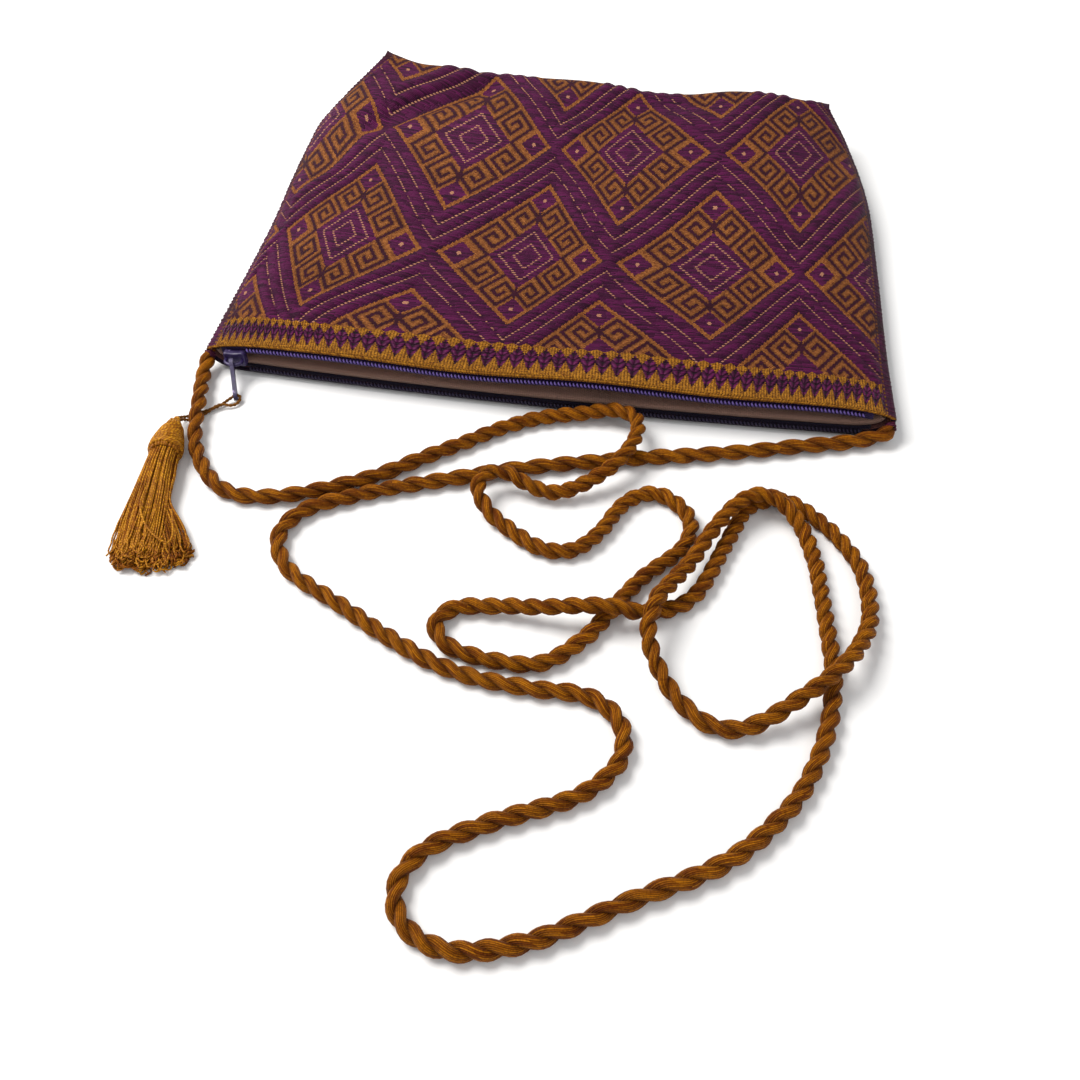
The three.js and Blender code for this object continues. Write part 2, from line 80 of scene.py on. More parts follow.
def dent(x, y):
    total = 0.0
    for x0, y0, x1, y1, depth, half in DENTS:
        ex, ey = x1 - x0, y1 - y0
        w = np.clip(((x - x0) * ex + (y - y0) * ey) / (ex * ex + ey * ey), 0, 1)
        dist2 = (x - x0 - w * ex) ** 2 + (y - y0 - w * ey) ** 2
        total = total + depth * np.exp(-dist2 / half**2)
    return total


def skin(c, t, upper, inset=0.0, angle=0.0):
    """A point of the bag's cloth, across (c -1..1) and from mouth to base (t 0..1)."""
    c, t, inset, angle = np.broadcast_arrays(*(np.asarray(v, float) for v in (c, t, inset, angle)))
    left, right = along(LEFT_SIDE, 1, t), along(RIGHT_SIDE, 1, t)
    seam_l, seam_r = along(LEFT_SIDE, 2, t), along(RIGHT_SIDE, 2, t)
    mid, half = (left + right) / 2, (right - left) / 2
    x = mid + (half - inset) * c
    seam = seam_l + (seam_r - seam_l) * (c + 1) / 2
    bow = BOW_TOP if upper else BOW_BOTTOM
    y0 = -bow * (1 - c * c)
    y = y0 + (along(FOLD, 1, c) - y0) * t
    a = np.abs(c)
    if upper:
        crown = np.maximum(0, 1 - a**5) ** 0.6
        z = seam + (along(MIDDLE, 1, t) - inset - seam) * crown - dent(mid + half * c, y) * np.minimum(1, 1.2 * crown)
    else:
        s = np.maximum(0, (a - 0.9) / 0.1)
        z = inset + (seam - inset) * (1 - np.sqrt(np.maximum(0, 1 - s * s)))
    edge = a**6
    bulge = 10 + (4 - 10) * edge - inset
    middle = 11 + (seam - 11) * edge
    rad = np.radians(angle)
    return np.stack([x, y + bulge * np.sin(rad), middle + (z - middle) * np.cos(rad)], -1)


# ------------------------------------------------------------- node shorthand
class Sock:
    def __init__(self, tree, out):
        self.tree, self.out = tree, out

    def __add__(self, o):
        return node_math(self.tree, "ADD", self, o)

    __radd__ = __add__

    def __sub__(self, o):
        return node_math(self.tree, "SUBTRACT", self, o)

    def __rsub__(self, o):
        return node_math(self.tree, "SUBTRACT", o, self)

    def __mul__(self, o):
        return node_math(self.tree, "MULTIPLY", self, o)

    __rmul__ = __mul__

    def __truediv__(self, o):
        return node_math(self.tree, "DIVIDE", self, o)


def node_math(tree, op, *args, clamp=False):
    n = tree.nodes.new("ShaderNodeMath")
    n.operation, n.use_clamp = op, clamp
    for i, a in enumerate(args):
        if isinstance(a, Sock):
            tree.links.new(a.out, n.inputs[i])
        else:
            n.inputs[i].default_value = float(a)
    return Sock(tree, n.outputs[0])


def tree_of(*args):
    return next(a.tree for a in args if isinstance(a, Sock))


def both(op, fn):
    def call(*args):
        if any(isinstance(a, Sock) for a in args):
            return node_math(tree_of(*args), op, *args)
        return fn(*args)

    return call


f_abs = both("ABSOLUTE", np.abs)
f_floor = both("FLOOR", np.floor)
f_fract = both("FRACT", lambda a: a - np.floor(a))
f_min = both("MINIMUM", np.minimum)
f_max = both("MAXIMUM", np.maximum)
f_lt = both("LESS_THAN", lambda a, b: (np.asarray(a) < b) * 1.0)
f_gt = both("GREATER_THAN", lambda a, b: (np.asarray(a) > b) * 1.0)
f_sin = both("SINE", np.sin)
f_sqrt = both("SQRT", np.sqrt)


def ramp(a, lo, hi):
    """0 below lo, 1 above hi, straight between."""
    if isinstance(a, Sock):
        return node_math(a.tree, "MULTIPLY", a - lo, 1.0 / (hi - lo), clamp=True)
    return np.clip((a - lo) / (hi - lo), 0, 1)


def pick(mask, yes, no):
    return no + mask * (yes - no)


def srgb(r, g, b):
    return tuple((v / 255 / 12.92) if v / 255 <= 0.04045 else ((v / 255 + 0.055) / 1.055) ** 2.4 for v in (r, g, b)) + (1.0,)


class Mat:
    """A node material with a Principled shader and a few short helpers."""

    def __init__(self, name, roughness=None, **sockets):
        self.mat = bpy.data.materials.new(name)
        self.mat.use_nodes = True
        self.tree = self.mat.node_tree
        self.shader = self.tree.nodes["Principled BSDF"]
        if roughness is not None:
            self.shader.inputs["Roughness"].default_value = roughness
        for key, value in sockets.items():
            self.shader.inputs[key.replace("_", " ")].default_value = value

    def uv(self, layer):
        n = self.tree.nodes.new("ShaderNodeUVMap")
        n.uv_map = layer
        s = self.tree.nodes.new("ShaderNodeSeparateXYZ")
        self.tree.links.new(n.outputs[0], s.inputs[0])
        return Sock(self.tree, s.outputs[0]), Sock(self.tree, s.outputs[1])

    def vector(self, x, y, z=0.0):
        n = self.tree.nodes.new("ShaderNodeCombineXYZ")
        for i, a in enumerate((x, y, z)):
            if isinstance(a, Sock):
                self.tree.links.new(a.out, n.inputs[i])
            else:
                n.inputs[i].default_value = float(a)
        return n.outputs[0]

    def noise(self, scale, detail=2.0, rough=0.5, vector=None, distortion=0.0):
        n = self.tree.nodes.new("ShaderNodeTexNoise")
        n.inputs["Scale"].default_value = scale
        n.inputs["Detail"].default_value = detail
        n.inputs["Roughness"].default_value = rough
        n.inputs["Distortion"].default_value = distortion
        if vector is None:
            vector = self.tree.nodes.new("ShaderNodeTexCoord").outputs["Object"]
        self.tree.links.new(vector, n.inputs["Vector"])
        return Sock(self.tree, n.outputs[0])

    def white(self, x, y):
        n = self.tree.nodes.new("ShaderNodeTexWhiteNoise")
        n.noise_dimensions = "2D"
        self.tree.links.new(self.vector(x, y), n.inputs["Vector"])
        return Sock(self.tree, n.outputs["Value"])

    def mix(self, fac, a, b):
        n = self.tree.nodes.new("ShaderNodeMix")
        n.data_type = "RGBA"
        n.clamp_factor = True
        if isinstance(fac, Sock):
            self.tree.links.new(fac.out, n.inputs[0])
        else:
            n.inputs[0].default_value = fac
        for i, v in ((6, a), (7, b)):
            if isinstance(v, tuple):
                n.inputs[i].default_value = v
            else:
                self.tree.links.new(v, n.inputs[i])
        return n.outputs[2]

    def shade(self, colour, by):
        """Multiply a colour by a number."""
        n = self.tree.nodes.new("ShaderNodeMix")
        n.data_type, n.blend_type = "RGBA", "MULTIPLY"
        n.inputs[0].default_value = 1.0
        self.tree.links.new(colour, n.inputs[6])
        c = self.tree.nodes.new("ShaderNodeCombineColor")
        for i in range(3):
            self.tree.links.new(by.out, c.inputs[i])
        self.tree.links.new(c.outputs[0], n.inputs[7])
        return n.outputs[2]

    def finish(self, colour, height_mm=None, roughness=None, metallic=None, strength=1.0):
        self.tree.links.new(colour, self.shader.inputs["Base Color"])
        if roughness is not None:
            self.tree.links.new(roughness.out, self.shader.inputs["Roughness"])
        if metallic is not None:
            self.tree.links.new(metallic.out, self.shader.inputs["Metallic"])
        if height_mm is not None:
            b = self.tree.nodes.new("ShaderNodeBump")
            b.inputs["Strength"].default_value = strength
            b.inputs["Distance"].default_value = MM
            self.tree.links.new(height_mm.out, b.inputs["Height"])
            self.tree.links.new(b.outputs[0], self.shader.inputs["Normal"])
        return self.mat


# ---------------------------------------------------------------- mesh helpers
class Build:
    """Collects quads and triangles with their own corner coordinates, then makes one object."""

    def __init__(self, layers=("UVMap",)):
        self.layers = layers
        self.verts, self.faces, self.uvs, self.mats = [], [], {k: [] for k in layers}, []
        self.count = 0

    def grid(self, points, uv, mat=0, close_cols=False, flip=False):
        """points (R, C, 3); uv {layer: (R, C, 2)}."""
        rows, cols = points.shape[:2]
        idx = np.arange(rows * cols).reshape(rows, cols)
        if close_cols:
            idx = np.concatenate([idx, idx[:, :1]], 1)
        q = np.stack([idx[:-1, :-1], idx[:-1, 1:], idx[1:, 1:], idx[1:, :-1]], -1).reshape(-1, 4)
        corner = None
        if close_cols:
            uvi = np.arange(rows * (cols + 1)).reshape(rows, cols + 1)
            corner = np.stack([uvi[:-1, :-1], uvi[:-1, 1:], uvi[1:, 1:], uvi[1:, :-1]], -1).reshape(-1, 4)
        else:
            corner = q
        if flip:
            q, corner = q[:, ::-1], corner[:, ::-1]
        self.verts.append(points.reshape(-1, 3))
        self.faces.append(q + self.count)
        for k in self.layers:
            self.uvs[k].append(uv[k].reshape(-1, 2)[corner.reshape(-1)])
        self.mats.append(np.full(len(q), mat, int))
        self.count += rows * cols

    def make(self, name, materials, merge=0.0, smooth=True, recalc=False):
        v = to_row(np.concatenate(self.verts))
        f = np.concatenate(self.faces)
        me = bpy.data.meshes.new(name)
        me.vertices.add(len(v))
        me.vertices.foreach_set("co", v.astype(np.float32).ravel())
        me.loops.add(f.size)
        me.loops.foreach_set("vertex_index", f.astype(np.int32).ravel())
        me.polygons.add(len(f))
        me.polygons.foreach_set("loop_start", np.arange(0, f.size, 4, dtype=np.int32))
        me.polygons.foreach_set("loop_total", np.full(len(f), 4, np.int32))
        me.polygons.foreach_set("material_index", np.concatenate(self.mats).astype(np.int32))
        me.update(calc_edges=True)
        for k in self.layers:
            layer = me.uv_layers.new(name=k)
            layer.data.foreach_set("uv", np.concatenate(self.uvs[k]).astype(np.float32).ravel())
        if merge or recalc:
            bm = bmesh.new()
            bm.from_mesh(me)
            if merge:
                bmesh.ops.remove_doubles(bm, verts=bm.verts, dist=merge * MM)
            if recalc:
                bmesh.ops.recalc_face_normals(bm, faces=bm.faces)
            bm.to_mesh(me)
            bm.free()
        me.polygons.foreach_set("use_smooth", np.full(len(me.polygons), smooth))
        me.validate()
        for m in materials:
            me.materials.append(m)
        o = bpy.data.objects.new(name, me)
        bpy.context.scene.collection.objects.link(o)
        return o


def unit(v):
    return v / np.maximum(np.linalg.norm(v, axis=-1, keepdims=True), 1e-12)


def spline(points, step):
    """Centripetal Catmull-Rom through the points, end points reflected, evenly spaced."""
    p = np.asarray(points, float)
    q = np.vstack([2 * p[0] - p[1], p, 2 * p[-1] - p[-2]])
    out = []
    for i in range(1, len(q) - 2):
        p0, p1, p2, p3 = q[i - 1 : i + 3]
        d01, d12, d23 = (max(np.linalg.norm(b - a) ** 0.5, 1e-6) for a, b in ((p0, p1), (p1, p2), (p2, p3)))
        t1 = ((p1 - p0) / d01 - (p2 - p0) / (d01 + d12) + (p2 - p1) / d12) * d12
        t2 = ((p2 - p1) / d12 - (p3 - p1) / (d12 + d23) + (p3 - p2) / d23) * d12
        u = np.linspace(0, 1, 24, endpoint=False)[:, None]
        out.append(
            p1 * (1 + 2 * u) * (1 - u) ** 2 + t1 * u * (1 - u) ** 2 + p2 * u * u * (3 - 2 * u) + t2 * u * u * (u - 1)
        )
    line = np.vstack(out + [p[-1:]])
    s = np.concatenate([[0], np.cumsum(np.linalg.norm(np.diff(line, axis=0), axis=1))])
    n = max(2, int(round(s[-1] / step)) + 1)
    at = np.linspace(0, s[-1], n)
    return np.stack([np.interp(at, s, line[:, k]) for k in range(3)], -1), s[-1]


def frames(line):
    """Tangent and two side vectors carried along a line without twist."""
    t = unit(np.gradient(line, axis=0))
    n = np.empty_like(line)
    first = np.cross(t[0], [0.0, 0.0, 1.0])
    if np.linalg.norm(first) < 1e-3:
        first = np.array([1.0, 0.0, 0.0])
    n[0] = first / np.linalg.norm(first)
    for i in range(1, len(line)):
        v = n[i - 1] - t[i] * np.dot(n[i - 1], t[i])
        n[i] = v / np.linalg.norm(v)
    return t, n, np.cross(t, n)


def tube(build, line, radius, sides=6, uv_scale=1.0, mat=0, seed_v=0.0, normal=None, flat=1.0):
    """A closed tube along a line; UVMap holds millimetres along it and turns round it."""
    line = np.asarray(line, float)
    radius = np.broadcast_to(np.asarray(radius, float), (len(line),)).copy()
    if normal is None:
        _, n, b = frames(line)
    else:
        t = unit(np.gradient(line, axis=0))
        n = unit(normal - t * np.sum(normal * t, -1, keepdims=True))
        b = np.cross(t, n)
    t = unit(np.gradient(line, axis=0))
    s = np.concatenate([[0], np.cumsum(np.linalg.norm(np.diff(line, axis=0), axis=1))])
    # rounded ends
    centre = np.vstack([line[:1] - t[:1] * radius[0] * 0.5, line[:1] - t[:1] * radius[0] * 0.35, line, line[-1:] + t[-1:] * radius[-1] * 0.35, line[-1:] + t[-1:] * radius[-1] * 0.5])
    r = np.concatenate([[1e-4, radius[0] * 0.7], radius, [radius[-1] * 0.7, 1e-4]])
    n = np.vstack([n[:1], n[:1], n, n[-1:], n[-1:]])
    b = np.vstack([b[:1], b[:1], b, b[-1:], b[-1:]])
    s = np.concatenate([[s[0], s[0]], s, [s[-1], s[-1]]])
    a = np.arange(sides) * 2 * math.pi / sides
    ring = centre[:, None] + r[:, None, None] * (
        np.cos(a)[None, :, None] * n[:, None] + flat * np.sin(a)[None, :, None] * b[:, None]
    )
    u = np.repeat(s[:, None] * uv_scale, sides + 1, 1)
    v = np.repeat(np.linspace(0, 1, sides + 1)[None] + seed_v, len(s), 0)
    build.grid(ring, {"UVMap": np.stack([u, v], -1)}, mat, close_cols=True, flip=True)


def twisted(build, line, strands, strand_r, helix_r, pitch, sides, mat=0, hand=1.0, swell=0.0, thin=1.0):
    """A laid cord: strands wound round one line; pitch and thin may change along it."""
    _, n, b = frames(line)
    step = np.linalg.norm(np.diff(line, axis=0), axis=1)
    s = np.concatenate([[0], np.cumsum(step)])
    pitch = np.broadcast_to(np.asarray(pitch, float), s.shape)
    thin = np.broadcast_to(np.asarray(thin, float), s.shape)
    turn = np.concatenate([[0], np.cumsum(2 * math.pi * step / pitch[1:])])
    for k in range(strands):
        a = hand * (turn + 0.9 * np.sin(s / 31.0) + 0.45 * np.sin(s / 13.0 + 1.0)) + 2 * math.pi * k / strands
        out = np.cos(a)[:, None] * n + np.sin(a)[:, None] * b
        r = strand_r * thin * (1 + swell * np.sin(s / 13.0 + 2.1 * k) * np.sin(s / 5.3 + k))
        tube(build, line + out * (helix_r * thin)[:, None], r, sides, mat=mat, normal=out)


# -------------------------------------------------------------------- the weave
ROW_STEP, ROW_AT = 66.0, 54.0
COL_STEP, COL_AT = 62.0, -78.6
HALF_W, HALF_H = 29.2, 43.0
SLOPE = HALF_H / HALF_W
BAND = ROW_STEP + SLOPE * COL_STEP / 2 - 2 * HALF_H
# The hand-woven lattice drifts on the panel: cloth x, y -> chart x, y of its corners, in millimetres.
LATTICE_POINTS = [
    (-77.7, 96.7, -78.6, 97.0), (-50.8, 51.4, -49.4, 54.0), (-84.1, 16.1, -78.6, 11.0), (-102.0, 57.6, -107.8, 54.0),
    (-79.1, 54.7, -78.6, 54.0), (-45.1, 50.7, -45.8, 54.0), (-12.2, 93.0, -16.6, 97.0), (-15.1, 17.5, -16.6, 11.0),
    (-13.8, 51.3, -16.6, 54.0), (10.9, 52.6, 12.6, 54.0), (16.1, 52.3, 16.2, 54.0), (46.7, 97.7, 45.4, 97.0),
    (75.4, 56.6, 74.6, 54.0), (49.2, 18.6, 45.4, 11.0), (47.6, 53.7, 45.4, 54.0), (78.3, 56.8, 78.2, 54.0),
    (-78.4, 122.7, -76.8, 120.0), (-15.9, 114.9, -18.4, 120.0), (-47.2, 72.5, -47.6, 77.0), (-44.5, 114.5, -47.6, 120.0),
    (-43.8, 162.2, -47.6, 163.0), (-11.2, 113.7, -14.8, 120.0), (42.9, 118.7, 43.6, 120.0), (13.9, 71.9, 14.4, 77.0),
    (13.0, 116.1, 14.4, 120.0), (13.7, 155.5, 14.4, 163.0), (48.8, 118.3, 47.2, 120.0), (76.5, 78.5, 76.4, 77.0),
    (75.5, 124.6, 76.4, 120.0), (-84.1, 126.9, -80.4, 120.0), (-48.9, 30.8, -47.6, 31.0), (12.4, 33.1, 14.4, 31.0),
    (76.7, 37.0, 76.4, 31.0), (-81.9, 151.7, -78.6, 143.0), (45.7, 139.6, 45.4, 143.0), (-13.6, 137.9, -16.6, 143.0),
    (-91.9, 33.8, -93.2, 32.5), (-105.7, 32.8, -109.6, 31.0), (-94.4, 11.3, -95.3, 10.0), (-95.5, 92.6, -98.2, 93.8),
    (-103.5, 85.9, -105.2, 83.4),
]


def chart(pu, pv):
    """Thin-plate drift of the lattice over the front panel."""
    table = np.array(LATTICE_POINTS)
    at, shift = table[:, :2], table[:, 2:] - table[:, :2]

    def kernel(q):
        r2 = ((q[..., None, :] - at) ** 2).sum(-1) / 1e4
        return r2 * np.log(np.maximum(r2, 1e-9))

    flat = lambda q: np.concatenate([np.ones(q.shape[:-1] + (1,)), q / 100], -1)
    n = len(at)
    left = np.block([[kernel(at) + 0.01 * np.eye(n), flat(at)], [flat(at).T, np.zeros((3, 3))]])
    w = np.linalg.solve(left, np.vstack([shift, np.zeros((3, 2))]))
    q = np.stack([pu, pv], -1)
    return q + kernel(q) @ w[:n] + flat(q) @ w[n:]


def lattice(x, y):
    """Which strip between two rows of diamonds, and how far through it."""
    r = (y - ROW_AT) / ROW_STEP
    j = f_floor(r)
    y0 = (r - j) * ROW_STEP
    par = j - 2.0 * f_floor(j * 0.5)
    xs = (x - COL_AT - par * (COL_STEP / 2)) / COL_STEP
    x0 = (xs - f_floor(xs + 0.5)) * COL_STEP
    ax = f_abs(x0)
    return x0, ax, y0, y0 + ax * SLOPE - HALF_H


def near_bar(along_v, across, lo, hi, at):
    return f_max(f_abs(across - at), f_abs(along_v - (lo + hi) / 2) - (hi - lo) / 2)


def diamond_purple(ax, ay, dash):
    a, b = ax / HALF_W, ay / HALF_H
    big, dif = a + b, a - b
    adif = f_abs(dif)
    turn = dif + f_lt(dif, 0.0) * 0.566
    hook = near_bar(big, turn, 0.45, 0.911, 0.475)
    hook = f_min(hook, near_bar(turn, big, 0.03, 0.475, 0.911))
    hook = f_min(hook, near_bar(big, turn, 0.554, 0.911, 0.03))
    hook = f_min(hook, near_bar(turn, big, 0.03, 0.325, 0.554))
    hook = f_min(hook, near_bar(big, turn, 0.554, 0.792, 0.325))
    hook = f_min(hook, near_bar(turn, big, 0.17, 0.325, 0.792))
    hook = f_min(hook, near_bar(big, turn, 0.673, 0.792, 0.17))
    spiral = f_lt(hook, 0.026)
    squares = f_lt(f_min(f_abs(big - 0.345), f_abs(big - 0.178)), 0.016) * dash
    centre = f_lt(big, 0.465) * (1.0 - squares)
    px, py = big - 0.775, adif - 0.775
    dot = f_lt(f_sqrt(px * px + py * py), 0.034)
    corner = f_gt(adif, 0.612) * f_lt(big, 0.937) * (1.0 - dot)
    stem = f_lt(ax, 0.5) * f_gt(big, 0.465) * f_lt(big, 0.63)
    fine = f_max(squares, dot * f_gt(adif, 0.612))
    return f_max(f_max(spiral, centre), f_max(corner, stem)), f_max(centre, corner), hook, fine


def cloth_material():
    m = Mat("brocade", Sheen_Weight=0.03, Sheen_Roughness=0.5, Specular_IOR_Level=0.12)
    m.shader.inputs["Sheen Tint"].default_value = srgb(190, 120, 160)
    x, y = m.uv("Weave")
    edge, lip = m.uv("Edges")
    warp, weft = 0.46, 0.6
    row = f_floor(y / weft)
    half = f_fract(row * 0.5)
    xq = (f_floor(x / warp + half) + 0.5 - half) * warp
    yq = (row + 0.5) * weft
    x0, ax, y0, d = lattice(xq, yq)
    upper = f_gt(d, BAND)
    inside = f_max(upper, f_lt(d, 0.0))
    dash = f_lt(f_fract(y / 1.2), 0.62)
    purple_in, block, hook, fine = diamond_purple(
        ax + upper * (COL_STEP / 2 - 2.0 * ax), y0 + upper * (ROW_STEP - 2.0 * y0), dash * f_gt(lip, 22.0)
    )
    # bands: three stripes parted by two dotted lines
    rx0, _, _, rd = lattice(x, y)
    s = rd / BAND
    line = f_lt(f_min(f_abs(s - 0.333), f_abs(s - 0.667)), 0.021)
    loose = f_gt(m.noise(0.22, 1.0, vector=m.vector(xq, yq)), 0.44)
    falling = f_gt(rx0, 0.0)
    dots = dash * pick(falling, loose, 1.0)
    dotted = line * dots
    gold = pick(inside, 1.0 - purple_in, dotted)
    # border along the lip: gold edge and stepped teeth, pairs of purple knots, gold spikes above
    wob = m.noise(0.3, 1.0, vector=m.vector(x, y)) - 0.5
    v = lip + wob * 0.9
    lean = x - lip * (0.03 + 0.0013 * x)
    col = (lean + lean * lean * lean * 1.27e-5) * (1.0 / 4.4) + wob * 0.12
    tri = f_abs(f_fract(col) - 0.5) * 2.0
    step = f_floor(v / 0.85) * 0.85
    tooth = tri - (0.12 + 0.18 * (step - 1.7))
    spike = tri - (1.0 - 0.29 * (step - 8.2))
    flame = f_max(tooth, spike)
    hem = f_lt(v, 1.8)
    border = f_lt(v, 12.2 + 1.1 * tri + 1.6 * wob)
    trim = f_max(hem, f_gt(flame, 0.0))
    rowf = (v - 2.0) / 2.7 - 0.72 * tri
    bx = (tri - 0.48) * 1.9
    by = (f_fract(rowf) - 0.5) * 2.0
    knob = f_sqrt(f_max(1.0 - 0.85 * bx * bx - 0.85 * by * by, 0.0))
    gold = pick(border, trim, gold)
    # side seams, and the plain bound edge of the back, whose near-black colour is a dark binding plus painted shade
    seam = f_lt(edge, 4.5)
    seam_gold = f_lt(f_abs(edge - 3.9), 0.34) * f_lt(f_fract(y / 2.0), 0.55)
    gold = pick(seam, seam_gold, gold)
    shaded_binding = f_gt(y, 185.0) * f_lt(lip, 5.0)
    gold = gold * (1.0 - shaded_binding)
    # thread relief
    wy = f_fract(y / weft) - 0.5
    weft_round = 1.0 - wy * wy * 4.0
    start = m.white(row, 3.0)
    run = f_fract(x / 4.6 + start)
    float_end = ramp(f_min(run, 1.0 - run), 0.0, 0.08)
    plain = f_abs(f_fract(x / (2 * warp) + row * 0.5) - 0.5) * 2.0
    rib = f_abs(f_fract(x / 0.92) - 0.5) * 2.0
    bead = border * (1.0 - trim) * (1.0 - seam)
    stripe = f_abs(f_fract(s * 3.0) - 0.5) * 2.0
    band = 1.0 - f_max(f_max(inside, border), seam)
    line_edge = ramp(hook, 0.024, 0.06)
    slub = m.noise(0.9, 2.0, vector=m.vector(x, y))
    puff = m.noise(0.55, 1.0, vector=m.vector(x * 0.6, y * 1.6))
    purple_h = 0.24 * weft_round * float_end * (1.0 - 0.8 * bead) + bead * (1.5 * knob - 0.4) + 0.3 * band * puff
    purple_h = purple_h + 0.22 * block * inside + band * 0.2 * (1.0 - stripe * stripe) - 0.3 * inside * (1.0 - block)
    gold_h = 0.12 + 0.22 * weft_round * (0.35 + 0.65 * plain) + 0.34 * inside * line_edge
    gold_h = gold_h + border * (0.3 * (1.0 - rib * rib) + 0.35 * ramp(flame, 0.0, 0.3))
    height = pick(gold, gold_h, purple_h) + 0.16 * slub
    # colours
    tint = m.white(row, f_floor(x / 4.6 + start))
    tint2 = m.white(f_floor(x / warp), row)
    big = m.noise(0.03, 3.0, vector=m.vector(x, y))
    purple = m.mix(ramp(0.6 * tint + 0.4 * puff, 0.15, 0.8), srgb(40, 0, 28), srgb(93, 17, 71))
    fret = inside * (1.0 - gold) * (1.0 - block) * (1.0 - border)
    purple = m.mix(fret * 0.7, purple, srgb(60, 12, 18))
    even = ramp(0.4 * tint2 + 0.6 * slub, 0.15, 0.8)
    yellow = m.mix(border, m.mix(even, srgb(90, 36, 6), srgb(176, 110, 52)), m.mix(even, srgb(92, 38, 2), srgb(206, 140, 36)))
    pale = m.mix(f_max(dotted * band, fine * inside * (1.0 - border)), yellow, srgb(184, 128, 98))
    colour = m.mix(gold, purple, pale)
    # painted shade between the weft rows and at the ends of the floats
    thread_shade = (0.5 + 0.5 * weft_round) * (0.72 + 0.28 * pick(gold, plain, float_end))
    # painted shade in the grooves between the puffed stripes of the bands
    stripe_shade = 1.0 - band * (1.0 - gold) * (0.7 - 0.34 * falling) * stripe * stripe * stripe
    # painted shade on the gold beside the purple spiral lines and on those purple lines themselves
    diamond_shade = 1.0 - inside * (1.0 - border) * pick(gold, 0.5 * (1.0 - line_edge), 0.3 * (1.0 - block))
    # painted shade on the purple knots of the border, darker towards each knot's rim
    knots = pick(bead, 0.2 + 0.95 * knob, 1.0)
    # painted shade between the gold ribs of the border and along the edges of its gold teeth
    rib_shade = 1.0 - border * gold * (0.34 * rib * rib + 0.3 * (1.0 - ramp(flame, 0.0, 0.18)) * (1.0 - hem))
    # painted shade along the right-hand side seam
    side = 1.0 - 0.46 * f_gt(x, 0.0) * (1.0 - ramp(edge, 2.0, 8.0))
    thread_shade = pick(bead, 0.25 + 0.75 * thread_shade, thread_shade)
    colour = m.shade(colour, thread_shade * stripe_shade * diamond_shade * knots * rib_shade * side * (0.8 + 0.4 * big))
    # the bound edge: a dark binding, darkened further with painted shade
    colour = m.mix(shaded_binding, colour, srgb(22, 8, 28))
    rough = 0.62 + 0.2 * slub - 0.1 * (1.0 - gold) - 0.2 * bead * knob
    return m.finish(colour, height, rough, strength=1.0)


def thread_material(name, deep, dark, light, turns, pitch, height, rough=0.55, spec=0.1, fuzz=0.25, strand_seat_shade=0.0, grain=0.0):
    """Twisted yarn: fine fibre lines running round a strand, with painted shade in the grooves between plies and where
    strands bed into each other.
    """
    m = Mat(name, Sheen_Weight=0.02, Sheen_Roughness=0.4, Specular_IOR_Level=spec)
    u, v = m.uv("UVMap")
    lay = u / pitch + v * turns
    ply = f_fract(lay)
    profile = 1.0 - (ply - 0.5) * (ply - 0.5) * 4.0
    fibre = m.noise(1.0, 3.0, vector=m.vector(u * (0.5 + 2.0 * grain), lay * 6.0))
    which = m.white(f_floor(lay), f_floor(u / 31.0))
    big = m.noise(22.0, 2.0)
    colour = m.mix(ramp(0.6 * fibre + 0.4 * which, 0.22, 0.88), dark, light)
    low = 0.5 - 0.7 * grain
    # painted shade: each ply darker towards its edges, in the grooves between plies
    painted_shade = (low + (1.0 - low) * profile) * (0.8 + 0.4 * big)
    if grain:
        specks = m.noise(1.0, 2.0, vector=m.vector(u * 2.6, f_floor(lay) * 3.7))
        painted_shade = painted_shade * (1.0 - grain + 2.0 * grain * ramp(specks, 0.3, 0.7))
    # painted shade on the inner side of each strand, where it beds into the next
    if strand_seat_shade:
        out = 0.5 + 0.5 * f_sin(f_fract(v) * (2 * math.pi) + math.pi / 2)
        painted_shade = painted_shade * ((1.0 - strand_seat_shade) + strand_seat_shade * ramp(out, 0.25, 0.95))
    # the yarn colour goes towards the deep colour where the painted shade is darkest
    colour = m.mix(painted_shade, deep, colour)
    rough_s = rough - 0.12 * profile + 0.2 * fibre
    return m.finish(colour, profile * height + fibre * height * fuzz, rough_s, strength=0.9)


def plain_cloth(name, dark, light, thread, layer="UVMap", sheen=0.15, ribs=0.0):
    """Fine plain weave, with a herringbone rib for zip tape."""
    m = Mat(name, Sheen_Weight=sheen, Specular_IOR_Level=0.2)
    x, y = m.uv(layer)
    if ribs:
        fold = f_abs(f_fract(y / 3.2) - 0.5) * 3.2
        w = f_abs(f_fract((x + fold) / ribs) - 0.5) * 2.0
        pattern = 1.0 - w * w
    else:
        wx = f_fract(x / thread) - 0.5
        wy = f_fract(y / thread) - 0.5
        over = f_gt(f_fract((f_floor(x / thread) + f_floor(y / thread)) * 0.5), 0.25)
        pattern = pick(over, 1.0 - wx * wx * 4.0, 1.0 - wy * wy * 4.0)
    slub = m.noise(0.35, 3.0, vector=m.vector(x * 0.25, y * 2.2))
    stain = m.noise(0.045, 3.0, vector=m.vector(x, y))
    colour = m.mix(0.5 * slub + 0.5 * stain, dark, light)
    # painted shade between the threads of the weave and the ribs of the tape
    colour = m.shade(colour, 0.66 + 0.34 * pattern)
    rough = 0.72 + 0.2 * slub
    return m.finish(colour, pattern * 0.12 + slub * 0.08, rough)


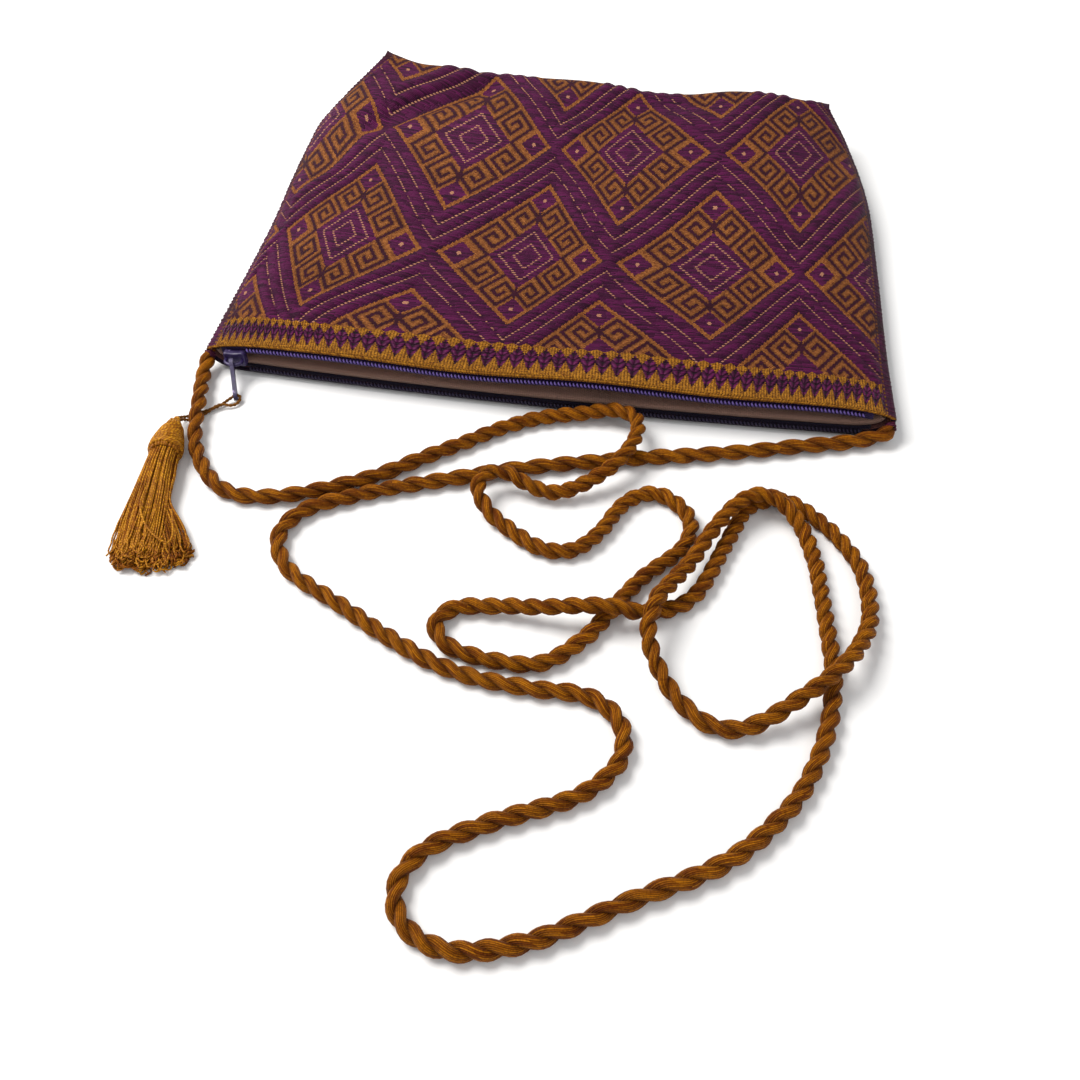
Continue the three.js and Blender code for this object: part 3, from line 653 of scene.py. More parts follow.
def lacquer(name, paint, paint2, metal):
    """Lacquered zinc, rubbed to the metal on its edges and in small chips."""
    m = Mat(name, Specular_IOR_Level=0.5)
    geo = m.tree.nodes.new("ShaderNodeNewGeometry")
    worn_edge = ramp(Sock(m.tree, geo.outputs["Pointiness"]), 0.55, 0.64)
    chips = ramp(m.noise(420.0, 4.0, 0.65), 0.62, 0.68)
    worn = f_max(worn_edge * ramp(m.noise(260.0, 3.0), 0.45, 0.6), chips)
    grime = m.noise(600.0, 3.0)
    colour = m.mix(worn, m.mix(grime, paint, paint2), metal)
    rough = 0.34 + 0.25 * grime
    return m.finish(colour, grime * 0.02 - worn * 0.05, rough, metallic=0.1 + 0.7 * worn)


# ------------------------------------------------------------------ woven bag
def cloth_wave(c, t, x, y):
    """Small unevenness of a hand-woven panel lying loosely."""
    fade = np.clip((1 - np.abs(c)) / 0.12, 0, 1)
    w = 0.55 * np.sin(x / 21.0 + 0.8) * np.sin(y / 27.0 + 0.5) + 0.3 * np.sin(x / 11.0 - y / 15.0)
    w += 0.45 * np.exp(-((t * 160) / 10.0) ** 2) * np.sin(x / 16.0 + 0.6)
    w += 0.5 * np.exp(-(((1 - t) * 160) / 9.0) ** 2) * np.sin(x / 8.5 + 1.4)
    return w * fade


def stripes(x, y, lip, edge):
    """Puffed stripes of the bands, as a lift in millimetres."""
    x0, _, _, d = lattice(x, y)
    s = d / BAND
    st = np.abs((s * 3) - np.floor(s * 3) - 0.5) * 2
    lift = np.where((s > 0) & (s < 1), np.where(x0 < 0, 0.95, 0.6) * (1 - st**2), 0.2)
    return lift * np.clip((lip - 11) / 4, 0, 1) * np.clip((edge - 3) / 3, 0, 1)


u_cols = np.linspace(-1, 1, 193)
C = 0.5 * u_cols + 0.5 * np.sin(u_cols * math.pi / 2)
T = np.linspace(0, 1, 157)
BASE = np.array([0, 11, 22, 33, 44, 55, 66, 78, 90.0])


def arc(points, axis):
    step = np.linalg.norm(np.diff(points, axis=axis), axis=-1)
    zero = np.zeros_like(np.take(step, [0], axis=axis))
    return np.concatenate([zero, np.cumsum(step, axis=axis)], axis=axis)


def panel(upper):
    p = skin(C[None, :], T[:, None], upper)
    across = arc(p, 1)
    mid = len(C) // 2
    mid_x = (along(LEFT_SIDE, 1, T) + along(RIGHT_SIDE, 1, T)) / 2
    pu = across - across[:, mid : mid + 1] + mid_x[:, None]
    edge = np.minimum(across, across[:, -1:] - across)
    lip = arc(p, 0)
    return p, pu, lip, edge


top, top_u, top_lip, top_edge = panel(True)
low, low_u, low_lip, low_edge = panel(False)
base_up = skin(C[None, :], 1.0, True, 0.0, BASE[:, None])
base_dn = skin(C[None, :], 1.0, False, 0.0, BASE[:, None])
arc_up, arc_dn = arc(base_up, 0), arc(base_dn, 0)
pv_top = top_lip - 4.0
pv_up = pv_top[-1:] + arc_up
pv_dn = pv_up[-1:] + (arc_dn[-1:] - arc_dn)
pv_low = pv_dn[:1] + (low_lip[-1:] - low_lip)
chart_top = chart(top_u, pv_top)
chart_up = np.stack([np.broadcast_to(chart_top[-1:, :, 0], arc_up.shape), chart_top[-1:, :, 1] + arc_up], -1)
chart_dn = np.stack([chart_up[..., 0], chart_up[-1:, :, 1] + (arc_dn[-1:] - arc_dn)], -1)
chart_low = np.stack(
    [low_u + (chart_top[-1:, :, 0] - low_u[-1:]), chart_dn[:1, :, 1] + (low_lip[-1:] - low_lip)], -1
)

wave = cloth_wave(C[None, :], T[:, None], top[..., 0], top[..., 1])
top_fine = top.copy()
top_fine[..., 2] += wave + stripes(chart_top[..., 0], chart_top[..., 1], top_lip, top_edge)
base_fine = base_up.copy()
fade_base = np.cos(np.radians(BASE))[:, None]
base_fine[..., 2] += fade_base * (top_fine[-1:, :, 2] - top[-1:, :, 2])
low_fine = low.copy()

SC = 0.96 / 392.0


def bake_uv(pu, pv, x0=0.01, y0=0.01):
    return np.stack([x0 + (pu + 116) * SC, y0 + (pv + 6) * SC], -1)


def cloth_layers(pu, pv, weave, edge, lip):
    full = lambda a: np.broadcast_to(a, pu.shape)
    return {
        "OFBake": bake_uv(pu, full(pv)),
        "Weave": weave,
        "Edges": np.stack([full(edge), full(lip)], -1),
    }


bag = Build(("OFBake", "Weave", "Edges"))
bag.grid(top_fine, cloth_layers(top_u, pv_top, chart_top, top_edge, top_lip), 0)
far = np.full_like(arc_up, 60.0)
bag.grid(base_fine, cloth_layers(np.broadcast_to(top_u[-1:], arc_up.shape), pv_up, chart_up, np.broadcast_to(top_edge[-1:], arc_up.shape), far), 0)
bag.grid(base_dn, cloth_layers(np.broadcast_to(top_u[-1:], arc_dn.shape), pv_dn, chart_dn, np.broadcast_to(top_edge[-1:], arc_dn.shape), far), 0)
bag.grid(low_fine, cloth_layers(low_u, pv_low, chart_low, low_edge, low_lip), 0)

# inner face, coarser from mouth to base
t_in = np.linspace(0, 1, 15)
pick_in = np.round(t_in * (len(T) - 1)).astype(int)
in_top = skin(C[None, :], T[pick_in][:, None], True, WALL)
in_top[..., 2] += wave[pick_in]
in_low = skin(C[None, :], T[pick_in][:, None], False, WALL)
in_up = skin(C[None, :], 1.0, True, WALL, BASE[::2][:, None])
in_up[..., 2] += fade_base[::2] * wave[-1:]
in_dn = skin(C[None, :], 1.0, False, WALL, BASE[::2][:, None])


def small_uv(points, x0, y0, w, h):
    r, c = points.shape[:2]
    u, v = np.meshgrid(np.linspace(0, 1, c), np.linspace(0, 1, r))
    return np.stack([x0 + u * w, y0 + v * h], -1), u, v


def hidden_layers(points, slot):
    uv, u, v = small_uv(points, 0.62, 0.01 + 0.12 * slot, 0.36, 0.1)
    return {"OFBake": uv, "Weave": np.stack([u * 214, v * 160], -1), "Edges": np.full(uv.shape, 60.0)}


for k, g in enumerate((in_top, in_up, in_dn, in_low)):
    bag.grid(g, hidden_layers(g, k), 1)


def rim(outer, inner, upper, slot):
    """Rounded lip between the outer and inner face."""
    lift = np.array([0, 0.45, 0.62, 0.45, 0])[:, None]
    w = np.array([0, 0.22, 0.5, 0.78, 1.0])[:, None, None]
    p = outer[None] * (1 - w) + inner[None] * w
    p[..., 1] -= lift * np.clip((1 - np.abs(C)) / 0.01, 0, 1)[None]
    lay = hidden_layers(p, slot)
    lay["Weave"] = np.stack([np.broadcast_to(outer[None, :, 0], p.shape[:2]), np.broadcast_to((-4.0 if upper else 380.0) - np.linspace(0, 1.6, 5)[:, None], p.shape[:2])], -1)
    lay["Edges"] = np.stack([np.full(p.shape[:2], 60.0), np.zeros(p.shape[:2])], -1)
    return p, lay


for k, (o_, i_, up_) in enumerate(((top_fine[0], in_top[0], True), (low_fine[0], in_low[0], False))):
    p_, lay_ = rim(o_, i_, up_, 4 + k)
    bag.grid(p_, lay_, 0)

BROCADE = cloth_material()
INSIDE = plain_cloth("brocade_reverse", srgb(70, 30, 62), srgb(132, 84, 60), 0.9, layer="Weave")
woven = bag.make("woven_bag", [BROCADE, INSIDE], merge=0.002, recalc=True)
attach(woven, "root")
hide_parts("bag_body")

# ------------------------------------------------------- whipped side seams
stitch = Build()
for side in (-1, 1):
    seam_line = skin(float(side), np.linspace(0, 1, 400), True)
    s_len = np.concatenate([[0], np.cumsum(np.linalg.norm(np.diff(seam_line, axis=0), axis=1))])
    count = int(s_len[-1] / 2.0)
    deep, thread_r = (0.08, 0.32) if side < 0 else (0.16, 0.27)
    for i in range(count):
        s0 = (i + 0.5) * s_len[-1] / count
        spread = np.array([-1.6, -1.2, -0.7, 0.0, 0.6, 1.0, 1.3]) * RNG.uniform(0.6, 1.1) + RNG.uniform(-0.35, 0.35)
        ts = np.interp(np.clip(s0 + spread, 0, s_len[-1]), s_len, np.linspace(0, 1, 400))
        reach = 2.6 + RNG.uniform(-0.7, 0.6)
        wide = 0.5 * (along(RIGHT_SIDE, 1, ts) - along(LEFT_SIDE, 1, ts))
        cs = side * (1 - np.array([reach, reach * 0.55, reach * 0.16, 0.0, reach * 0.16, reach * 0.55, reach]) / wide)
        up = skin(cs, ts, True, deep + np.array([0.3, 0.1, 0.0, 0.0, 0.0, 0.1, 0.3]))
        dn = skin(cs, ts, False, deep + np.array([0.3, 0.1, 0.0, 0.0, 0.0, 0.1, 0.3]))
        pts = np.vstack([up[:4], dn[4:]])
        pts[:, 2] = np.maximum(pts[:, 2], 0.25)
        line, _ = spline(pts, 0.9)
        tube(stitch, line, thread_r + RNG.uniform(-0.07, 0.07), 6, seed_v=RNG.uniform())
STITCH = thread_material("seam_thread", srgb(22, 2, 14), srgb(44, 6, 32), srgb(92, 34, 58), 2.0, 1.4, 0.1)
seams = stitch.make("seam_stitches", [STITCH])
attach(seams, "root")

# ------------------------------------------------------------------- lining
lin = Build(("OFBake", "Weave"))
u_lin = np.linspace(-1, 1, 121)
CL = 0.55 * u_lin + 0.45 * np.sin(u_lin * math.pi / 2)
INSET = WALL + LINING_GAP


def lining_face(upper, inset, t0, rows=70):
    t = np.linspace(t0, 0.96, rows)
    p = skin(CL[None, :], t[:, None], upper, inset)
    wob = 0.35 * np.sin(p[..., 0] / 9.0 + p[..., 1] / 14.0) * np.clip((1 - np.abs(CL)) / 0.2, 0, 1)[None]
    p[..., 2] += wob * (1.0 if upper else 0.6) * np.clip((t - t0) / 0.05, 0, 1)[:, None]
    return p


def lin_layers(p, x0, y0, w, h):
    uv, u, v = small_uv(p, x0, y0, w, h)
    return {"OFBake": uv, "Weave": np.stack([u * 210, v * 160], -1)}


lt_out, lt_in = lining_face(True, INSET, 0.012), lining_face(True, INSET + LINING_WALL, 0.012)
ll_out, ll_in = lining_face(False, INSET, 0.002), lining_face(False, INSET + LINING_WALL, 0.002)
lin.grid(lt_out, lin_layers(lt_out, 0.01, 0.01, 0.46, 0.4))
lin.grid(lt_in, lin_layers(lt_in, 0.01, 0.43, 0.46, 0.4))
lin.grid(ll_out, lin_layers(ll_out, 0.5, 0.01, 0.46, 0.4))
lin.grid(ll_in, lin_layers(ll_in, 0.5, 0.43, 0.46, 0.4))
for k, (a_, b_) in enumerate(((lt_out[0], lt_in[0]), (ll_out[0], ll_in[0]), (lt_out[-1], ll_out[-1]), (lt_in[-1], ll_in[-1]))):
    p_ = np.stack([a_, b_])
    lin.grid(p_, lin_layers(p_, 0.01 + 0.24 * k, 0.86, 0.22, 0.05))
for k, side in enumerate((0, -1)):  # its side seams
    for j, (a_, b_) in enumerate(((lt_out, ll_out), (lt_in, ll_in))):
        p_ = np.stack([a_[:, side], b_[:, side]])
        lin.grid(p_, lin_layers(p_, 0.01 + 0.48 * k + 0.24 * j, 0.93, 0.22, 0.05))
LINING = plain_cloth("lining_weave", srgb(150, 112, 98), srgb(194, 154, 136), 0.55, layer="Weave")
lining = lin.make("bag_lining", [LINING], merge=0.002, recalc=True)
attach(lining, "root")
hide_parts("lining")

# ---------------------------------------------------------------------- zip
ZC = np.linspace(-0.88, 0.925, 190)


def lips(at):
    front, back = skin(at, 0.0, True, WALL), skin(at, 0.0, False, WALL)
    front[:, 2] += np.interp(at, C, wave[0])
    return front, back


lip_t, lip_b = lips(ZC)
long_t, long_b = lips(np.linspace(-0.965, 0.95, 200))  # the tapes run on to the corners


def tape(name, section, mat, node):
    """A strip with a rounded section along the mouth: section gives points round it."""
    b = Build()
    p = np.stack(section, 1)
    n = p.shape[1]
    s = np.concatenate([[0], np.cumsum(np.linalg.norm(np.diff(p[:, 0], axis=0), axis=1))])
    per = np.concatenate([[0], np.cumsum(np.linalg.norm(np.diff(np.concatenate([p[0], p[0, :1]]), axis=0), axis=1))])
    ends = np.concatenate([p[:1].mean(1, keepdims=True).repeat(n, 1), p, p[-1:].mean(1, keepdims=True).repeat(n, 1)])
    su = np.concatenate([[s[0]], s, [s[-1]]])
    uv = np.stack([np.repeat(su[:, None], n + 1, 1), np.repeat(per[None], len(su), 0)], -1)
    b.grid(ends, {"UVMap": uv}, close_cols=True, flip=False)
    o = b.make(name, [mat], merge=0.0005, recalc=True)
    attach(o, "root")
    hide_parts(node)
    return o


def corner_section(base, y0, y1, z0, z1, r=0.28, waves=None):
    """Rounded rectangle in y and z, one row of points per corner step."""
    out = []
    for cy, cz, a0 in ((y1 - r, z1 - r, 0), (y0 + r, z1 - r, 90), (y0 + r, z0 + r, 180), (y1 - r, z0 + r, 270)):
        for a in (0, 45, 90):
            q = base.copy()
            q[:, 1] += cy + r * math.cos(math.radians(a0 + a))
            q[:, 2] += cz + r * math.sin(math.radians(a0 + a))
            out.append(q)
    return out


TAPE = plain_cloth("zip_tape_weave", srgb(26, 10, 48), srgb(44, 22, 76), 0.6, ribs=0.9, sheen=0.1)
# the back tape takes a darker copy of the tape cloth as painted shade
TAPE_SHADED = plain_cloth("zip_tape_shaded", srgb(16, 8, 26), srgb(28, 16, 42), 0.6, ribs=0.9, sheen=0.1)
tape("tape_front", corner_section(long_t, 0.2, 1.1, -3.0, -0.4), TAPE, "zip_tape_front")
tape("tape_back", corner_section(long_b, -0.2, 4.0, 0.4, 1.3), TAPE_SHADED, "zip_tape_back")


def coil(name, centre, node, mat):
    """Continuous nylon coil: one wire wound along the tape edge."""
    b = Build()
    s = np.concatenate([[0], np.cumsum(np.linalg.norm(np.diff(centre, axis=0), axis=1))])
    turns = int(s[-1] / 1.15)
    at = np.linspace(0, s[-1], turns * 11)
    base = np.stack([np.interp(at, s, centre[:, k]) for k in range(3)], -1)
    a = 2 * math.pi * turns * at / s[-1]
    line = base + np.stack([0.18 * np.sin(2 * a), 0.6 * np.cos(a), 0.56 * np.sin(a)], -1)
    wire = np.linalg.norm(np.diff(line, axis=0), axis=1).sum()
    tube(b, line, 0.28, 6, uv_scale=turns / wire)
    o = b.make(name, [mat])
    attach(o, "root")
    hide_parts(node)


def nylon(name, dark, mid, glint_colour):
    """Nylon wire with a painted highlight on the upper front of each turn (U counts turns)."""
    m = Mat(name, Specular_IOR_Level=0.4)
    u, v = m.uv("UVMap")
    n = m.noise(300.0, 3.0)
    fibre = m.noise(1.5, 2.0, vector=m.vector(u, v * 9.0))
    # painted highlight: a light band on the upper front of each turn
    face = 1.0 - ramp(f_abs(f_fract(u) - 0.42), 0.05, 0.15)
    colour = m.mix(face * (0.7 + 0.3 * n), m.mix(0.5 * n + 0.5 * fibre, dark, mid), glint_colour)
    return m.finish(colour, fibre * 0.03, 0.34 + 0.2 * n)


NYLON = nylon("zip_nylon", srgb(24, 8, 52), srgb(42, 18, 80), srgb(102, 82, 154))
# the back coil takes a darker copy of the nylon as painted shade
NYLON_SHADED = nylon("zip_nylon_shaded", srgb(14, 6, 26), srgb(24, 12, 40), srgb(34, 22, 54))
front_coil = lip_t + [0, 0.2 - 0.8, -1.0]
back_coil = lip_b + [0, -0.2 - 1.15, 0.85]
coil("coil_front", front_coil, "zip_coil_front", NYLON)
coil("coil_back", back_coil, "zip_coil_back", NYLON_SHADED)

PAINT = lacquer("slider_lacquer", srgb(20, 6, 46), srgb(40, 16, 80), srgb(120, 106, 150))
PULL = lacquer("pull_lacquer", srgb(20, 11, 40), srgb(42, 30, 74), srgb(140, 130, 162))
for node, mat in (("zip_slider", PAINT), ("zip_pull", PULL)):
    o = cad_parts[node]
    o.data.materials.clear()
    o.data.materials.append(mat)
    bev = o.modifiers.new("soft_edges", "BEVEL")
    bev.width, bev.segments, bev.limit_method, bev.angle_limit = 0.00016, 2, "ANGLE", math.radians(35)

# -------------------------------------------------------------------- strap
Z0 = 2.55
STRAP = [
    (-109.9, -1.2, 4.3), (-109.4, -7.0, 3.2), (-106.4, -19.4, 3.95), (-104.2, -28.4, 3.85), (-99.6, -41.2, 2.7),
    (-87.5, -54.5, Z0), (-73.4, -55.8, Z0), (-46.9, -44.4, Z0), (-26.3, -29.0, Z0), (-3.8, -12.6, Z0),
    (11.6, -8.0, 3.4), (22.4, -7.0, 5.4), (28.8, -10.2, 6.7), (30.4, -17.6, 7.4), (27.4, -28.0, 7.6),
    (19.6, -37.0, 5.4), (8.6, -42.4, 3.4), (1.0, -41.6, 5.0), (-5.4, -39.6, 6.6), (-11.0, -41.0, 6.9),
    (-12.8, -46.2, 6.0), (-9.6, -51.4, 4.0), (-3.0, -56.6, 2.7), (8.9, -63.3, Z0), (17.7, -62.1, Z0),
    (23.7, -54.7, Z0), (30.2, -41.6, Z0), (37.3, -37.5, Z0), (43.4, -39.7, Z0), (48.2, -45.6, Z0),
    (48.3, -54.8, Z0), (36.4, -70.6, Z0), (23.2, -93.3, Z0), (14.2, -101.5, Z0), (4.0, -102.6, Z0),
    (-5.1, -101.6, Z0), (-12.0, -98.6, Z0), (-15.2, -93.0, Z0), (-11.4, -87.4, Z0), (-2.8, -86.0, 3.3),
    (10.0, -86.0, 5.5), (20.6, -85.6, 7.5), (29.6, -84.4, 7.7), (37.4, -82.7, 4.6), (44.0, -79.9, 2.65),
    (51.6, -73.6, Z0), (58.8, -54.8, Z0), (65.4, -38.2, Z0), (73.7, -34.4, Z0), (81.8, -38.3, Z0),
    (95.0, -54.5, Z0), (97.6, -75.6, 4.0), (90.8, -92.6, 7.5), (80.6, -103.6, 6.7), (66.6, -113.4, 3.2),
    (57.9, -113.3, 2.7), (47.6, -105.4, 3.7), (40.6, -92.0, 7.5), (41.4, -82.0, 9.0), (44.8, -74.6, 7.9),
    (50.4, -63.4, 6.3), (55.6, -51.4, 6.9), (64.3, -39.4, 7.8), (70.4, -37.9, 7.2), (76.2, -40.8, 5.3),
    (82.1, -50.9, 2.8), (86.1, -73.7, Z0), (88.1, -100.2, Z0), (81.3, -126.8, Z0), (65.9, -147.0, Z0),
    (41.7, -162.2, Z0), (19.8, -174.9, Z0), (3.4, -178.0, Z0), (-6.0, -173.0, Z0), (-8.4, -165.0, Z0),
    (-4.2, -156.4, Z0), (9.2, -147.6, Z0), (31.0, -135.6, Z0), (37.6, -125.0, Z0), (36.0, -115.9, Z0),
    (28.1, -110.0, Z0), (10.3, -109.4, Z0), (-3.2, -108.2, Z0), (-17.0, -104.0, Z0), (-40.3, -91.8, Z0),
    (-60.4, -79.8, Z0), (-65.3, -69.6, Z0), (-61.6, -60.0, Z0), (-48.9, -51.8, Z0), (-22.9, -40.9, Z0),
    (3.4, -31.4, Z0), (28.3, -24.6, Z0), (55.9, -17.8, Z0), (80.2, -11.0, Z0), (97.2, -6.0, 2.7),
    (105.0, -2.8, 4.0),
]
HAND = 1.0
strap_line, strap_long = spline(STRAP, 1.0)
rope = Build()
END_L, END_R = [(-108.7, 1.5, 5.7), (-109.5, 0.2, 5.2)], [(106.0, -1.0, 5.0), (105.6, 0.6, 5.5)]
rope_line, _ = spline(END_L + STRAP + END_R, 1.0)
rope_s = np.arange(len(rope_line)) * 1.0
LAY = {0: 12.8, 4: 12.5, 6: 15.0, 8: 13.0, 10: 10.0, 14: 9.2, 24: 10.0, 34: 11.2, 44: 10.0, 55: 10.6, 64: 9.8, 68: 10.6,
       70: 13.0, 76: 13.2, 80: 11.6, 86: 12.0, 89: 14.5, 92: 16.0, 95: 15.0}
lay_at = [int(np.argmin(np.linalg.norm(rope_line - np.array(STRAP[k]), axis=1))) for k in LAY]
rope_pitch = np.interp(np.arange(len(rope_line)), lay_at, list(LAY.values())) * (1 + 0.08 * np.sin(rope_s / 37.0 + 2.0))
rope_thin = np.clip(0.42 + np.minimum(rope_s, rope_s[::-1]) / 7.0, 0, 1)
twisted(rope, rope_line, 2, 1.44, 0.98, rope_pitch, 16, hand=HAND, swell=0.09, thin=rope_thin)
ROPE = thread_material("rope_fibre", srgb(40, 7, 0), srgb(86, 29, 0), srgb(190, 118, 13), 20.0, 0.72, 0.16, spec=0.06, strand_seat_shade=0.66, grain=0.4)
strap = rope.make("strap_rope", [ROPE])
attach(strap, "root")
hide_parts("strap")
path_pts, _ = spline(STRAP, 4.0)

# corner knots: a few turns of the seam thread where the rope enters each corner
knot = Build()
for end in (rope_line[:14], rope_line[::-1][:14]):
    _, n_, b_ = frames(end)
    turns = 2.6
    at = np.linspace(0, 1, 70)
    idx = at * 1.7 + 0.6
    pos = np.stack([np.interp(idx, np.arange(len(end)), end[:, k]) for k in range(3)], -1)
    nn = np.stack([np.interp(idx, np.arange(len(end)), n_[:, k]) for k in range(3)], -1)
    bb = np.stack([np.interp(idx, np.arange(len(end)), b_[:, k]) for k in range(3)], -1)
    a = 2 * math.pi * turns * at
    r = 2.3 * np.clip(0.42 + idx / 7.0, 0, 1) + 0.08 * np.sin(5 * a)
    tube(knot, pos + r[:, None] * (np.cos(a)[:, None] * nn + np.sin(a)[:, None] * bb), 0.36, 7)
knots = knot.make("corner_knots", [STITCH])
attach(knots, "root")

# ------------------------------------------------------------ tassel and tie
TIE = [
    (-110.1, -31.0, 4.6), (-110.5, -27.9, 2.6), (-108.6, -24.9, 0.75), (-104.8, -22.2, 0.7), (-100.6, -18.8, 0.8),
    (-98.3, -16.2, 1.5), (-96.6, -14.9, 2.1), (-95.4, -14.7, 2.0), (-95.0, -15.7, 1.5), (-95.6, -17.4, 1.0),
    (-97.4, -18.6, 1.1), (-99.3, -18.9, 1.6), (-101.0, -19.9, 1.65), (-102.7, -21.7, 1.2), (-104.4, -23.6, 0.72), (-107.4, -26.3, 0.75), (-109.0, -28.6, 2.6),
    (-108.7, -31.0, 4.6),
]
tie_line, tie_long = spline(TIE, 0.25)
tie = Build()
twisted(tie, tie_line, 2, 0.29, 0.24, 2.4, 7, hand=HAND)
TIE_MAT = thread_material("tie_thread", srgb(50, 24, 4), srgb(92, 52, 12), srgb(150, 100, 38), 3.0, 1.3, 0.06)
tie_o = tie.make("pull_cord", [TIE_MAT])

YARN = thread_material("tassel_yarn", srgb(58, 14, 0), srgb(122, 60, 0), srgb(218, 152, 24), 2.0, 0.9, 0.08, rough=0.5, spec=0.16, grain=0.05)
# a darker copy of the yarn as painted shade, given mostly to yarns of the under layer and to the tufts
YARN_SHADED = thread_material("tassel_yarn_shaded", srgb(40, 8, 0), srgb(86, 36, 0), srgb(166, 98, 8), 2.0, 0.9, 0.08, rough=0.55, spec=0.1, grain=0.05)
cap = Build()
head_top = np.array([-109.4, -31.8, 4.75])
axis = unit(np.array([1.8, -13.9, 0.0]))
sidev = unit(np.cross(axis, [0, 0, 1.0]))
upv = np.cross(sidev, axis)
PROFILE = [(0, 1.4), (1.2, 2.1), (3, 2.6), (6, 3.4), (9, 4.1), (11.5, 4.5), (13, 4.5), (14, 4.3)]
s_head = np.linspace(0, 14, 40)
r_head = along(PROFILE, 1, s_head)
# core, then yarns laid over it, then the whipping
a_ring = np.arange(24) * 2 * math.pi / 24
core = head_top + s_head[:, None, None] * axis + (r_head[:, None, None] - 0.5) * (
    np.cos(a_ring)[None, :, None] * sidev + np.sin(a_ring)[None, :, None] * upv
)
core = np.concatenate([np.broadcast_to(head_top, (1, 24, 3)), core, np.broadcast_to(head_top + 14 * axis, (1, 24, 3))])
uv_core = np.stack(np.meshgrid(np.linspace(0, 3, 25), np.linspace(0, 14, 42)), -1)[..., ::-1]
cap.grid(core, {"UVMap": uv_core}, close_cols=True)
for i in range(30):
    a0 = 2 * math.pi * i / 30 + RNG.uniform(-0.05, 0.05)
    a = a0 + 0.25 * np.sin(s_head / 5.0 + RNG.uniform(0, 6)) * 0.3 + 0.35 * s_head / 14
    rr = 0.115 * r_head + 0.04
    line = head_top + s_head[:, None] * axis + (r_head - rr * 0.6)[:, None] * (np.cos(a)[:, None] * sidev + np.sin(a)[:, None] * upv)
    tube(cap, line, rr, 6, seed_v=RNG.uniform())
at = np.linspace(0, 1, 420)
for start, end, turns, lean, phase, thick in ((4.6, 11.6, 9.0, 1.9, 0.6, 0.46), (6.0, 11.4, 5.0, -1.6, 2.4, 0.42), (11.6, 13.0, 3.0, 0.5, 0.0, 0.5)):
    a = 2 * math.pi * turns * at
    s_w = np.clip(start + (end - start) * at + lean * np.cos(a + phase) + 0.15 * np.sin(3.1 * a), 0.4, 13.6)
    r_w = np.interp(s_w, s_head, r_head) + 0.14
    line = head_top + s_w[:, None] * axis + r_w[:, None] * (np.cos(a)[:, None] * sidev + np.sin(a)[:, None] * upv)
    tube(cap, line, thick, 6)
# the knot on top
a = np.linspace(0, 2 * math.pi, 90)
kx, ky, kz = np.sin(a) + 2 * np.sin(2 * a), np.cos(a) - 2 * np.cos(2 * a), -np.sin(3 * a)
kn = head_top - 0.3 * axis + 0.42 * (kx[:, None] * sidev + ky[:, None] * upv) + 0.55 * kz[:, None] * axis
tube(cap, kn, 0.5, 7)
cap_o = cap.make("tassel_cap", [YARN])
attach(cap_o, "root")
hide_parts("tassel_head")

SKIRT = np.array([
    (-107.5, -46.2, 4.3, 4.2), (-106.9, -51, 4.8, 4.2), (-105.9, -57, 6, 3.8), (-104.2, -64, 7.8, 3.3),
    (-102.2, -71, 9.6, 2.8), (-99.6, -78, 11.2, 2.4), (-97.4, -84, 11.6, 2.1), (-96.2, -87, 11.2, 1.9),
])
sk_s = np.concatenate([[0], np.cumsum(np.linalg.norm(np.diff(SKIRT[:, :2], axis=0), axis=1))])


def skirt_point(s, p, q):
    """A point of the fan at length s, at (p, q) of its cross-section."""
    x, y, w, h = (np.interp(s, sk_s, SKIRT[:, k]) for k in range(4))
    over = np.maximum(0, s - sk_s[-1])
    x, y = x + 0.31 * over, y - 0.95 * over
    zc = h + 0.25
    return np.stack([x + w * p * 0.97, y + w * p * 0.18, np.maximum(zc + h * q, 0.45)], -1)


def hem_at(p):
    return 0.99 - 0.12 * max(0.0, p) ** 2 - 0.07 * max(0.0, -p) ** 2


